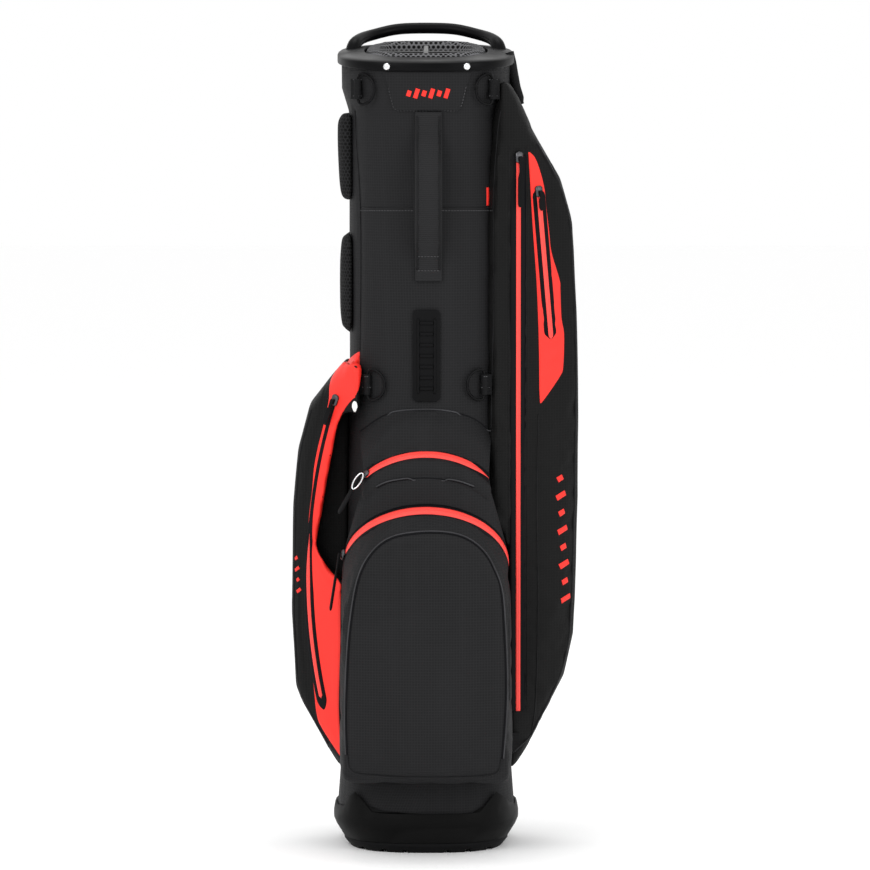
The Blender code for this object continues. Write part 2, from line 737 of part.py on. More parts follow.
def ring_frame(name):
    x, z, slot = D_RINGS[name]
    far_x = x - math.copysign(0.0200, x)
    near = Vector((x, body_front(x, z), z))
    far = Vector((far_x, body_front(far_x, z), z))
    inward = (far - near).normalized()
    out = Vector((inward.y, -inward.x, 0.0))
    if out.y > 0:
        out = -out
    bar = near + out * 0.0052
    return bar, inward, out, slot


def d_ring(name):
    bar, inward, out, slot = ring_frame(name)
    outline = ((0.0, -0.0130), (0.0, 0.0), (0.0, 0.0130), (0.0030, 0.0160), (0.0090, 0.0160),
               (0.0170, 0.0120), (0.0215, 0.0050), (0.0215, -0.0050), (0.0170, -0.0120),
               (0.0090, -0.0160), (0.0030, -0.0160))
    points = [bar + inward * p + Vector((0, 0, q)) for p, q in outline]
    loops = []
    for i, p in enumerate(points):
        along = (points[(i + 1) % len(points)] - points[i - 1]).normalized()
        side = along.cross(out)
        loop = []
        for k in range(6):
            a = math.pi * (k + 0.5) / 3.0
            loop.append(p + side * (0.0018 * math.cos(a)) + out * (0.0018 * math.sin(a)))
        loops.append(loop)
    ring = loft("d_ring_" + name, loops, slot, wrap=True)
    return set_pivot(ring, bar)


def d_tab(name):
    bar, inward, out, _ = ring_frame(name)
    half = 0.0105
    up = Vector((0, 0, 1))
    plate = box("d_tab_" + name, bar - inward * 0.0040 - out * 0.0035, (0.0038, 0.0052, half),
                (inward, out, up), "webbing")
    loop = rod("loop", bar - up * half, bar + up * half, 0.0038, 12)
    combine(plate, loop, "UNION")
    combine(plate, rod("bore", bar - up * 0.03, bar + up * 0.03, 0.0023, 12))
    combine(plate, body_cutter())
    return plate


# ---- zips ------------------------------------------------------------------------------
def zip_slider(name, seat, travel, out):
    """Slider body on its zip, 0.6 mm off the fabric."""
    side = out.cross(travel).normalized()
    loops = []
    for lift, long, wide in ((0.0006, 0.0060, 0.0042), (0.0026, 0.0060, 0.0042),
                             (0.0040, 0.0046, 0.0028)):
        loop = []
        for u, w in ((-1, -0.5), (-0.7, -1), (0.7, -1), (1, -0.5), (1, 0.5), (0.7, 1), (-0.7, 1),
                     (-1, 0.5)):
            loop.append(seat + out * lift + travel * (u * long) + side * (w * wide))
        loops.append(loop)
    return loft(name, loops, "zip_metal")


def zip_pull(name, pivot, down, out, length, slot):
    """Pull plate hung from the slider: a narrow neck, then a wider moulded end."""
    side = out.cross(down).normalized()
    loops = []
    for share, wide, thick in ((-0.0012, 0.0012, 0.0006), (0.0, 0.0020, 0.0011),
                               (0.30 * length, 0.0016, 0.0009), (0.42 * length, 0.0030, 0.0012),
                               (length - 0.003, 0.0032, 0.0012), (length, 0.0020, 0.0007)):
        loop = []
        for u, w in ((-1, -1), (1, -1), (1, 1), (-1, 1)):
            loop.append(pivot + down * share + side * (u * wide) + out * (w * thick))
        loops.append(loop)
    return loft(name, loops, slot)


def arch_zip(tag, centre, up, radius, start, lean, length, slot):
    """Slider and pull parked at the left end of an arched zip."""
    a = math.radians(start)
    out = SIDEWAYS * math.sin(a) + up * math.cos(a)
    down_arc = -(SIDEWAYS * math.cos(a) - up * math.sin(a))
    forward = SIDEWAYS.cross(up)
    seat = centre + out * radius
    slider = zip_slider("zip_slider_" + tag, seat, down_arc, out)
    set_pivot(slider, centre)
    lean = math.radians(lean)
    hang = (down_arc * math.cos(lean) + forward * math.sin(lean)).normalized()
    pivot = seat + out * 0.0062
    pull = zip_pull("zip_pull_" + tag, pivot, hang, out, length, slot)
    set_pivot(pull, pivot)


def right_zips():
    (x0, y0), slope = RIGHT_FACET
    down = Vector((0, 0, -1))
    out = Vector((slope, -1.0, 0.0)).normalized()
    seat = Vector((0.0965, y0 + slope * (0.0965 - x0), 0.7290))
    slider = zip_slider("zip_slider_right", seat, down, out)
    set_pivot(slider, seat)
    pull = zip_pull("zip_pull_right", seat + out * 0.0062, down, out, 0.052, "pull_rubber")
    set_pivot(pull, seat + out * 0.0062)
    corner_y = y0 + slope * (RIGHT_CORNER_X - x0)
    out = Vector((RIGHT_SLOPE, -1.0, 0.0)).normalized()
    seat = Vector((0.1172, corner_y + RIGHT_SLOPE * (0.1172 - RIGHT_CORNER_X), 0.6930))
    end = Vector((0.1310, corner_y + RIGHT_SLOPE * (0.1310 - RIGHT_CORNER_X), 0.5350))
    travel = (end - seat).normalized()
    slider = zip_slider("zip_slider_panel", seat, travel, out)
    set_pivot(slider, seat)
    pull = zip_pull("zip_pull_panel", seat + out * 0.0062, travel, out, 0.020, "pull_rubber")
    set_pivot(pull, seat + out * 0.0062)


LEFT_ZIP_CENTRE = (-0.4177, 0.2892)        # along the facet and in height
LEFT_ZIP_RADIUS = 0.4858
LEFT_ZIP_START = 22.5


def left_zip():
    (x0, y0), slope = LEFT_FACET
    along = Vector((-1.0, slope, 0.0)).normalized()
    out = Vector((-slope, -1.0, 0.0)).normalized()
    q, height = LEFT_ZIP_CENTRE
    centre = Vector((x0, y0, 0.0)) + along * q + Vector((0, 0, height))
    a = math.radians(LEFT_ZIP_START)
    seat = centre + along * (LEFT_ZIP_RADIUS * math.cos(a)) + Vector((0, 0, LEFT_ZIP_RADIUS * math.sin(a)))
    travel = along * math.sin(a) - Vector((0, 0, math.cos(a)))
    slider = zip_slider("zip_slider_left", seat, travel, out)
    set_pivot(slider, centre)
    pull = zip_pull("zip_pull_left", seat + out * 0.0062, travel, out, 0.028, "pull_rubber")
    set_pivot(pull, seat + out * 0.0062)


# ---- folding legs ----------------------------------------------------------------------
def leg_axis(side):
    """Hinge axis of a leg: turning about it swings the foot back and outwards."""
    return Vector((math.cos(LEG_SPLAY), -side * math.sin(LEG_SPLAY), 0.0))


def leg_bracket():
    bracket = box("leg_bracket", (0.0, 0.0760, LEG_PIVOT_Z), (0.0700, 0.0250, 0.0170),
                  slot="moulded_plastic")
    combine(bracket, body_cutter())
    for side in (-1, 1):
        axis = leg_axis(side)
        across = Vector((0, 0, 1)).cross(axis).normalized()
        if across.y < 0:
            across = -across
        pivot = Vector((side * LEG_X, LEG_Y, LEG_PIVOT_Z))
        for end in (-1, 1):
            centre = pivot + axis * (end * 0.0075) - across * 0.0045 + Vector((0, 0, 0.0015))
            ear = box("ear", centre, (0.0020, 0.0100, 0.0075), (axis, across, Vector((0, 0, 1))))
            combine(bracket, ear, "UNION")
        bore = rod("bore", pivot - axis * 0.0110, pivot + axis * 0.0110, 0.0028, 12)
        combine(bracket, bore)
    return bracket


def leg(side, tag):
    axis = leg_axis(side)
    inward = -axis * side
    pivot = Vector((side * LEG_X, LEG_Y, LEG_PIVOT_Z))
    up = Vector((0, 0, 1))
    rod("leg_pin_" + tag, pivot - axis * 0.0105, pivot + axis * 0.0105, 0.0025, 12,
        "spring_steel")
    knuckle = rod("leg_knuckle_" + tag, pivot - axis * 0.0050, pivot + axis * 0.0050, 0.0068, 16,
                  "moulded_plastic")
    across = up.cross(axis).normalized()
    neck = box("neck", pivot - up * 0.0070, (0.0044, 0.0058, 0.0050), (axis, across, up))
    combine(knuckle, neck, "UNION")
    stem = rod("stem", pivot - up * 0.0450, pivot - up * 0.0090, 0.0075, 16)
    combine(knuckle, stem, "UNION")
    combine(knuckle, rod("bore", pivot - axis * 0.02, pivot + axis * 0.02, 0.0029, 12))
    combine(knuckle, rod("socket", pivot - up * 0.06, pivot - up * 0.0200, 0.0063, 16))
    set_pivot(knuckle, pivot)
    tube = pipe("leg_tube_" + tag, pivot - up * 0.0205, pivot - up * (LEG_LENGTH - 0.020),
                0.0060, 0.0050, 16, "leg_aluminium")
    set_pivot(tube, pivot)
    foot = rod("leg_foot_" + tag, pivot - up * (LEG_LENGTH - 0.045), pivot - up * LEG_LENGTH,
               0.0100, 16, "rubber", chamfer=0.0025)
    hole = rod("hole", pivot - up * 0.70, pivot - up * (LEG_LENGTH - 0.0195), 0.0063, 16)
    combine(foot, hole)
    set_pivot(foot, pivot)
    clip_at = pivot - up * CLIP_DROP
    clip = rod("leg_clip_" + tag, clip_at - up * 0.0060, clip_at + up * 0.0060, 0.0090, 16,
               "moulded_plastic")
    peg = rod("peg", clip_at + inward * 0.0070, clip_at + inward * 0.0158, 0.0020, 10)
    combine(clip, peg, "UNION")
    combine(clip, rod("bore", clip_at - up * 0.02, clip_at + up * 0.02, 0.0063, 16))
    set_pivot(clip, pivot)
    top = clip_at + inward * ROD_OFFSET
    wire = rod("rod_" + tag, top - up * 0.0035, Vector((top.x, top.y, ROD_END_Z)), 0.0020, 10,
               "spring_steel")
    eye = rod("eye", top - inward * 0.0016, top + inward * 0.0016, 0.0048, 12)
    combine(wire, eye, "UNION")
    combine(wire, rod("bore", top - inward * 0.01, top + inward * 0.01, 0.0024, 10))
    set_pivot(wire, top)


def build():
    clear_scene()
    body_shell()
    top_collar()
    lift_handle()
    cuff_padding()
    top_divider()
    divider_panels()
    stays()
    base_boot()
    base_sole()
    stand_foot()
    foot_pin()
    ball_pocket()
    upper_pocket()
    right_pocket()
    left_pocket()
    hip_pads()
    badge_flap()
    grip_patch()
    grab_handle()
    rivet("collar_rivet_left", -0.0405)
    rivet("collar_rivet_right", 0.0425)
    umbrella_tab()
    webbing_tab()
    for name in D_RINGS:
        d_ring(name)
        d_tab(name)
    arch_zip("ball", BALL_CENTRE, BALL_UP, BALL_RADIUS, -78.0, 42.0, 0.060, "pull_rubber")
    arch_zip("upper", UPPER_CENTRE, UPPER_UP, UPPER_RADIUS, -48.0, 45.0, 0.050, "pull_rubber")
    right_zips()
    left_zip()
    leg_bracket()
    leg(-1, "left")
    leg(1, "right")
    for obj in bpy.data.objects:
        finish_surface(obj)


build()
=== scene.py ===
"""Looks of a golf stand bag: cloth, padding, zips, webbing, moulded parts and a plain studio.

Metres, +Z up, the bag's front towards -Y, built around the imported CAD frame. Outlines that lie on
the front of the bag are given in millimetres on the plane y = 0, as the camera sees them.
"""

import json
import math

import bpy
import numpy as np
from mathutils import Matrix, Vector, noise
from mathutils.bvhtree import BVHTree
from mathutils.kdtree import KDTree


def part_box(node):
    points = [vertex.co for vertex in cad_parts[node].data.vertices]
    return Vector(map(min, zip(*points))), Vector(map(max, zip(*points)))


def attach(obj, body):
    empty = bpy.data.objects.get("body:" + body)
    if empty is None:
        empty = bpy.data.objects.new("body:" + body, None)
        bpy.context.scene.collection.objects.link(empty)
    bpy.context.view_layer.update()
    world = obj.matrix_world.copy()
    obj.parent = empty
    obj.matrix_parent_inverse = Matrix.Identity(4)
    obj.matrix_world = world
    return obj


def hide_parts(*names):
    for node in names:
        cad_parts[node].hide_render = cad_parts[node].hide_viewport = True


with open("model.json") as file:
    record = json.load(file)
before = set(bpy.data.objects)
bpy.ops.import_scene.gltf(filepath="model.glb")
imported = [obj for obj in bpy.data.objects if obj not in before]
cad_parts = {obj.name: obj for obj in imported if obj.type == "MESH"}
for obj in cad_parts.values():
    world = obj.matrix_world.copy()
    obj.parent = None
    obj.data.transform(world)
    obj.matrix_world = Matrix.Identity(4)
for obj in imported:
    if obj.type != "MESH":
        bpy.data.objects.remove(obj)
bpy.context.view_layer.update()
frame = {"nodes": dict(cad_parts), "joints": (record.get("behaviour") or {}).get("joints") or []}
NODES = frame["nodes"]
JOINTS = {joint["name"]: joint for joint in frame["joints"]}

BAG = "bag"
MM = 0.001

# Camera: a long lens a little above the middle of the bag.
LOOK_AT = Vector((0.0095, 0.0, 0.433))
CAMERA_DISTANCE = 6.0
CAMERA_ELEVATION = math.radians(4.5)
LENS = 234.5
SENSOR = 36.0

# Cloth.
VOXEL = 0.005
FINE_VOXEL = 0.004
PRESSURE_FRAMES = 18
SEAM_HOLD = 0.006
CREASE_HOLD = 0.009
CREASE_SCALE = 16.0
GROOVE_WIDTH = 0.0035
RIPSTOP_PITCH = 0.0029
FRONT_POCKET_BACK = -0.075
SIDE_POCKET_BACK = -0.030

# Strips and panels laid on the cloth.
STRIP_ROOT = 0.0008
STRIP_HEIGHT = 0.0006
PATH_STEP = 2.5
PANEL_RISE = 0.0009
PANEL_ROOT = 0.0006
TIP_SHARE = 0.045
TIP_REACH = 0.06
TIP_RISE = 0.0022
TAPE_HALF = 0.0095

# Outlines on the front, in millimetres on the plane y = 0 as the camera sees them.
LEFT_SEAM = ((-75, 776), (-73, 737), (-70, 695), (-69, 650), (-69, 587), (-70, 523))
RIGHT_SEAM = ((79, 776), (76, 756), (72.5, 709), (71, 672), (72, 580), (70, 499), (69, 440))
CROSS_SEAM_LEFT = ((-68.5, 674), (-15, 674))
CROSS_SEAM_RIGHT = ((18, 674), (70.5, 674))
TOP_ARC = ((-70, 436.7), (-40.2, 455.3), (-1.1, 459.5), (28, 457), (50.8, 450), (68.3, 436.7))
MID_SEAM = ((-52, 377), (-37, 383.4), (-2, 387.3), (30.7, 384), (50, 377.5))
CROSS_STITCHES = (((-68.5, 670.5), (-15, 670.5)), ((18, 670.5), (70.5, 670.5)))
RIGHT_FACET_SEAM = ((119, 455), (117.5, 364), (118.6, 258), (116.5, 152), (110, 104))
ZIP_SEAM_INNER = ((88, 737), (87.5, 640), (87.5, 470), (88, 300), (88.5, 150))
ZIP_SEAM_OUTER = ((106, 737), (106, 640), (106.5, 470), (107, 300), (107, 150))
SIDE_TAG = ((65, 695), (65.2, 685), (65.1, 676))
ROUND_TAG = ((-75.2, 469), (-75.2, 464), (-75.2, 458))
BADGE_HEM = ((-40, 800), (-34.5, 779), (-29, 774.2), (1, 773.6), (31, 774.2), (36.5, 779), (42, 800))
HANDLE_LEFT, HANDLE_RIGHT = -9.4, 14.6
HANDLE_STITCH_LEVELS = (622, 607)
PATCH_CENTRE = 0.5
TAB_INSET = 2.0
BALL_ARCH = (
    (-83.7, 92), (-84.7, 130), (-83, 190), (-78.9, 237.5), (-71, 280), (-57.2, 306.6),
    (-37.1, 322.5), (-7.4, 328.3), (23.3, 327.8), (44.5, 321.4), (61.4, 307.6), (72, 289), (79.4, 266.2),
    (83.1, 217.3), (84.7, 163.2), (83.1, 121.7), (80.5, 88),
)
BALL_FOOT = (
    (-83.7, 92), (-78.9, 74), (-45, 69.4), (-10.6, 68), (30.7, 68), (60, 69.6), (76, 73), (80.5, 88),
)
RIGHT_PANEL_INNER = (
    (107.8, 733), (109.1, 709), (112.3, 655), (116.5, 593), (118.6, 539), (119.7, 485), (120.7, 466),
)
RIGHT_PANEL_OUTER = (
    (108.2, 733), (114.4, 727), (119.7, 714.5), (125, 695), (127.1, 675), (130.3, 648.6), (132.8, 627),
    (141.6, 597.6), (142.5, 586), (143.6, 558), (146.5, 539), (145.6, 505), (142.6, 496),
    (132.4, 480.8), (121, 466),
)
LEFT_PANEL_INNER = (
    (-70, 522), (-71.5, 479), (-79.4, 469), (-86.8, 458.5), (-94.3, 442), (-99.5, 415), (-104.8, 387),
    (-110, 354), (-114.4, 333), (-116.5, 318), (-114.4, 308.7), (-103.8, 291.7), (-92.1, 279),
    (-88, 272), (-90, 255.6), (-90.4, 213), (-92, 163), (-92, 129), (-90, 104), (-86, 84),
)
LEFT_PANEL_OUTER = (
    (-70.3, 522), (-99.5, 494.6), (-103.3, 469), (-109, 442), (-114.4, 421), (-118.6, 399),
    (-120.7, 374.6), (-123.9, 347), (-126, 311), (-127, 281), (-127, 230), (-123.9, 197),
    (-119.7, 163), (-116.5, 134.5), (-110, 119), (-86.5, 84),
)


# ---------------------------------------------------------------- materials


def linear(red, green, blue):
    """A display colour, 0 to 255 each, as the linear colour a shader takes."""
    def one(value):
        share = value / 255
        return share / 12.92 if share <= 0.04045 else ((share + 0.055) / 1.055) ** 2.4
    return (one(red), one(green), one(blue), 1.0)


class Shade:
    """A procedural material while its nodes are being laid."""

    def __init__(self, name, roughness, metallic=0.0, specular=0.5):
        self.material = bpy.data.materials.new(name)
        self.material.use_nodes = True
        self.tree = self.material.node_tree
        self.shader = self.tree.nodes["Principled BSDF"]
        self.shader.inputs["Roughness"].default_value = roughness
        self.shader.inputs["Metallic"].default_value = metallic
        self.shader.inputs["Specular IOR Level"].default_value = specular
        self.coordinates = self.tree.nodes.new("ShaderNodeTexCoord")
        split = self.tree.nodes.new("ShaderNodeSeparateXYZ")
        self.tree.links.new(self.coordinates.outputs["UV"], split.inputs[0])
        self.u, self.v = split.outputs[0], split.outputs[1]

    def put(self, value, socket):
        if isinstance(value, bpy.types.NodeSocket):
            self.tree.links.new(value, socket)
        else:
            socket.default_value = value

    def math(self, operation, first, second=0.0, third=0.0):
        node = self.tree.nodes.new("ShaderNodeMath")
        node.operation = operation
        for value, socket in zip((first, second, third), node.inputs):
            self.put(value, socket)
        return node.outputs[0]

    def times(self, first, second):
        return self.math("MULTIPLY", first, second)

    def ramp(self, value, start, end, low=0.0, high=1.0):
        node = self.tree.nodes.new("ShaderNodeMapRange")
        node.interpolation_type = "SMOOTHSTEP"
        for given, socket in zip((value, start, end, low, high), node.inputs):
            self.put(given, socket)
        return node.outputs[0]

    def noise(self, scale, detail=3.0, stretch=(1.0, 1.0, 1.0)):
        place = self.tree.nodes.new("ShaderNodeMapping")
        place.inputs["Scale"].default_value = stretch
        self.tree.links.new(self.coordinates.outputs["Object"], place.inputs[0])
        node = self.tree.nodes.new("ShaderNodeTexNoise")
        node.inputs["Scale"].default_value = scale
        node.inputs["Detail"].default_value = detail
        self.tree.links.new(place.outputs[0], node.inputs["Vector"])
        return node.outputs[0]

    def mix(self, share, first, second):
        node = self.tree.nodes.new("ShaderNodeMix")
        node.data_type = "RGBA"
        self.put(share, node.inputs[0])
        self.put(first, node.inputs[6])
        self.put(second, node.inputs[7])
        return node.outputs[2]

    def wave(self, coordinate, pitch):
        """0 to 1 to 0 once every pitch metres."""
        turned = self.times(coordinate, 2 * math.pi / pitch)
        return self.math("MULTIPLY_ADD", self.math("COSINE", turned), 0.5, 0.5)

    def grid(self, pitch, sharpness):
        """Thin lines both ways, one every pitch metres."""
        lines = [self.math("POWER", self.wave(way, pitch), sharpness) for way in (self.u, self.v)]
        return self.math("MAXIMUM", *lines)

    def clouded(self, cloud, colour, dark, light):
        """Slow patches of a slightly darker and a slightly lighter colour."""
        return self.mix(self.ramp(cloud, 0.35, 0.65), tinted(colour, dark), tinted(colour, light))

    def edge(self, low=0.5, high=0.6):
        """How sharply the surface turns outwards, for a painted highlight along the edges."""
        geometry = self.tree.nodes.new("ShaderNodeNewGeometry")
        return self.ramp(geometry.outputs["Pointiness"], low, high)

    def colour(self, value):
        self.put(value, self.shader.inputs["Base Color"])

    def rough(self, value, low, high):
        """Roughness from low to high, following a noise."""
        self.put(self.ramp(value, 0.3, 0.7, low, high), self.shader.inputs["Roughness"])

    def bump(self, height, distance, strength=1.0):
        node = self.tree.nodes.new("ShaderNodeBump")
        node.inputs["Strength"].default_value = strength
        node.inputs["Distance"].default_value = distance
        self.tree.links.new(height, node.inputs["Height"])
        self.tree.links.new(node.outputs[0], self.shader.inputs["Normal"])


def tinted(colour, share):
    """A colour made darker or lighter."""
    return (colour[0] * share, colour[1] * share, colour[2] * share, 1.0)


def ripstop(name, colour, roughness=0.62, pitch=RIPSTOP_PITCH, relief=0.00012):
    """Coated nylon: a fine plain weave crossed by a grid of thicker threads."""
    shade = Shade(name, roughness, specular=0.09)
    grid = shade.grid(pitch, 8.0)
    weave = shade.times(shade.wave(shade.u, pitch / 6), shade.wave(shade.v, pitch / 6))
    cloud = shade.noise(9.0, 4.0)
    slub = shade.noise(60.0, 2.0, (1.0, 1.0, 0.06))
    base = shade.clouded(cloud, colour, 0.88, 1.08)
    streaked = shade.mix(shade.ramp(slub, 0.45, 0.75, 0.0, 0.35), base, tinted(colour, 1.35))
    lit = shade.mix(shade.times(grid, 0.42), streaked, tinted(colour, 2.4))
    # Painted highlight: the cloth's outward edges are lightened towards twice its colour.
    shade.colour(shade.mix(shade.times(shade.edge(0.53, 0.6), 0.3), lit, tinted(colour, 2.0)))
    height = shade.math("MULTIPLY_ADD", weave, 0.45, grid)
    shade.bump(shade.math("MULTIPLY_ADD", slub, 0.5, height), relief, 0.8)
    shade.rough(cloud, roughness - 0.06, roughness + 0.06)
    return shade.material


def laminate(name, colour):
    """Bright coated cloth for the accent panels, its weave just showing."""
    shade = Shade(name, 0.5, specular=0.3)
    grid = shade.grid(0.0024, 10.0)
    cloud = shade.noise(14.0, 3.0)
    base = shade.clouded(cloud, colour, 0.93, 1.05)
    shade.colour(shade.mix(shade.times(grid, 0.10), base, tinted(colour, 0.8)))
    shade.bump(grid, 0.00008, 0.6)
    shade.rough(cloud, 0.44, 0.54)
    return shade.material


def coated_zip(name, colour, half_width):
    """Welded zip flaps: two smooth lips that meet on a dark centre line, teeth showing through."""
    shade = Shade(name, 0.42, specular=0.4)
    teeth = shade.wave(shade.v, 0.0016)
    centre = shade.ramp(shade.math("ABSOLUTE", shade.u), 0.0, 0.0007, 1.0, 0.0)
    # Painted shade: the outer rims of the flaps, where they roll down to the tape, are darkened to 0.55 of
    # the colour.
    rim_shade_mask = shade.ramp(shade.math("ABSOLUTE", shade.u), half_width * 0.7, half_width, 0.0, 1.0)
    base = shade.mix(shade.times(teeth, 0.10), colour, tinted(colour, 0.8))
    rim_shaded = shade.mix(shade.times(rim_shade_mask, 0.35), base, tinted(colour, 0.55))
    shade.colour(shade.mix(shade.times(centre, 0.45), rim_shaded, tinted(colour, 0.35)))
    shade.bump(shade.math("SUBTRACT", shade.times(teeth, 0.3), centre), 0.00025, 0.8)
    return shade.material


def zip_tape(name, colour):
    """Rubberised knitted tape beside a zip, with a fine herringbone."""
    shade = Shade(name, 0.5, specular=0.06)
    slant = shade.math("ADD", shade.math("ABSOLUTE", shade.u), shade.v)
    knit = shade.wave(slant, 0.0011)
    cloud = shade.noise(40.0, 3.0)
    base = shade.mix(cloud, tinted(colour, 0.85), tinted(colour, 1.25))
    shade.colour(shade.mix(shade.times(knit, 0.3), base, tinted(colour, 1.7)))
    shade.bump(knit, 0.00012, 0.7)
    return shade.material


def air_mesh(name, colour, hole, cell=0.0042):
    """Spacer mesh: a face of six-sided cells over a dark backing."""
    shade = Shade(name, 0.85, specular=0.12)
    distances = []
    for shift in (0.0, 0.5):
        across = shade.math("MULTIPLY_ADD", shade.u, 1 / cell, shift)
        along = shade.math("MULTIPLY_ADD", shade.v, 1 / (cell * math.sqrt(3)), shift)
        dx = shade.math("SUBTRACT", shade.math("FRACT", across), 0.5)
        dy = shade.times(shade.math("SUBTRACT", shade.math("FRACT", along), 0.5), math.sqrt(3))
        squared = shade.math("ADD", shade.times(dx, dx), shade.times(dy, dy))
        distances.append(shade.math("SQRT", squared))
    thread = shade.ramp(shade.math("MINIMUM", *distances), 0.26, 0.42)
    twist = shade.wave(shade.math("ADD", shade.u, shade.v), 0.0009)
    strand = shade.mix(shade.times(twist, 0.35), colour, tinted(colour, 0.6))
    shade.colour(shade.mix(thread, hole, strand))
    shade.bump(shade.math("MULTIPLY_ADD", twist, 0.15, thread), 0.0008, 0.9)
    return shade.material


def webbing(name, colour, rib=0.0016):
    """Woven strap: ribs across and a herringbone between them."""
    shade = Shade(name, 0.75, specular=0.12)
    ribs = shade.wave(shade.v, rib)
    yarn = shade.wave(shade.math("MULTIPLY_ADD", shade.math("ABSOLUTE", shade.u), 1.0, shade.v), rib * 0.8)
    cloud = shade.noise(35.0, 4.0)
    base = shade.mix(cloud, tinted(colour, 0.8), tinted(colour, 1.3))
    shade.colour(shade.mix(shade.times(ribs, 0.4), base, tinted(colour, 1.9)))
    shade.bump(shade.math("MULTIPLY_ADD", yarn, 0.5, ribs), 0.0003, 0.9)
    shade.rough(cloud, 0.66, 0.8)
    return shade.material


def moulded(name, colour, roughness=0.42, grain=900.0, relief=0.00006):
    """Injection-moulded plastic or rubber: spark-eroded grain, paler along the outward edges as a painted
    highlight.
    """
    shade = Shade(name, roughness, specular=0.07)
    fine = shade.noise(grain, 2.0)
    cloud = shade.noise(22.0, 4.0)
    base = shade.clouded(cloud, colour, 0.85, 1.2)
    # Painted highlight: the outward edges are lightened towards 3.2 times the colour.
    shade.colour(shade.mix(shade.times(shade.edge(0.52, 0.6), 0.45), base, tinted(colour, 3.2)))
    shade.bump(fine, relief, 0.5)
    shade.rough(cloud, roughness - 0.07, roughness + 0.1)
    return shade.material


def metal(name, colour, roughness, stretch=(1.0, 1.0, 1.0), grain=500.0):
    """Plated or drawn metal with fine scratches along one way."""
    shade = Shade(name, roughness, metallic=1.0)
    scratches = shade.noise(grain, 3.0, stretch)
    cloud = shade.noise(30.0, 3.0)
    base = shade.mix(cloud, tinted(colour, 0.85), colour)
    shade.colour(shade.mix(shade.times(scratches, 0.2), base, tinted(colour, 0.7)))
    shade.rough(scratches, roughness * 0.7, roughness * 1.5)
    shade.bump(scratches, 0.00002, 0.4)
    return shade.material


def fleece(name, colour):
    """Brushed nap on the dividers."""
    shade = Shade(name, 0.95, specular=0.1)
    nap = shade.noise(420.0, 4.0)
    cloud = shade.noise(18.0, 3.0)
    base = shade.mix(cloud, tinted(colour, 0.8), tinted(colour, 1.3))
    shade.colour(shade.mix(shade.times(nap, 0.5), base, tinted(colour, 1.9)))
    shade.bump(nap, 0.0006, 0.9)
    shade.shader.inputs["Sheen Weight"].default_value = 0.35
    return shade.material


def thread(name, colour):
    """Twisted sewing thread."""
    shade = Shade(name, 0.7, specular=0.3)
    twist = shade.noise(1400.0, 2.0)
    cloud = shade.noise(30.0, 2.0)
    shade.colour(shade.mix(shade.times(twist, 0.6), tinted(colour, 0.7), tinted(colour, 1.4)))
    shade.bump(twist, 0.0001, 0.6)
    shade.rough(cloud, 0.6, 0.8)
    return shade.material


def studio_floor(name, colour):
    """Seamless paper, almost even."""
    shade = Shade(name, 0.9, specular=0.1)
    fibre = shade.noise(120.0, 3.0)
    shade.colour(shade.mix(fibre, tinted(colour, 0.985), colour))
    shade.bump(fibre, 0.0001, 0.2)
    return shade.material


FRONT_GREY = linear(27, 27, 28)
SIDE_GREY = linear(17, 17, 17)
NEAR_BLACK = linear(7, 7, 7)
RED = linear(244, 46, 36)
ZIP_RED = linear(255, 70, 62)

M = {
    "front": ripstop("ripstop_grey", FRONT_GREY),
    "side": ripstop("ripstop_black", SIDE_GREY),
    "red": laminate("red_laminate", RED),
    "zip": coated_zip("zip_red", ZIP_RED, 0.005),
    "tape": zip_tape("zip_tape_black", linear(14, 14, 16)),
    "mesh": air_mesh("air_mesh_black", linear(32, 32, 33), linear(7, 7, 7)),
    "cuff": air_mesh("air_mesh_grey", linear(104, 104, 106), linear(8, 8, 8), cell=0.0052),
    "webbing": webbing("webbing_black", linear(17, 17, 18)),
    "handle": webbing("grab_webbing", linear(31, 31, 32), rib=0.0022),
    "plastic": moulded("moulded_black", linear(7, 7, 8), 0.36),
    "ring": moulded("ring_black", linear(15, 15, 16), 0.28),
    "sole": moulded("boot_black", NEAR_BLACK, 0.5, 600.0, 0.0001),
    "rubber": moulded("rubber_black", linear(13, 13, 14), 0.6, 1300.0, 0.0001),
    "piping": moulded("piping_black", linear(26, 26, 27), 0.33, 700.0),
    # The fold material is a painted highlight: a paler grey for the light caught along piped seams, not a
    # paler cloth.
    "fold": moulded("seam_highlight_grey", linear(58, 58, 60), 0.45, 700.0),
    "chrome": metal("chrome_plate", (0.86, 0.87, 0.88, 1.0), 0.14),
    "steel": metal("spring_steel_black", (0.16, 0.16, 0.17, 1.0), 0.35, (1.0, 1.0, 0.1)),
    "aluminium": metal("leg_aluminium_dark", (0.10, 0.10, 0.11, 1.0), 0.32, (1.0, 1.0, 0.05)),
    "glass": moulded("glass_fibre_black", linear(24, 24, 25), 0.4, 500.0),
    "slider": metal("zip_metal_black", (0.09, 0.09, 0.095, 1.0), 0.32),
    "fleece": fleece("divider_fleece", linear(22, 22, 23)),
    "thread": thread("thread_grey", linear(84, 84, 86)),
    "print": laminate("white_print", linear(236, 236, 234)),
    "floor": studio_floor("studio_paper", (1.0, 1.0, 1.0, 1.0)),
}


# ---------------------------------------------------------------- mesh tools


def link(obj):
    bpy.context.scene.collection.objects.link(obj)
    return obj


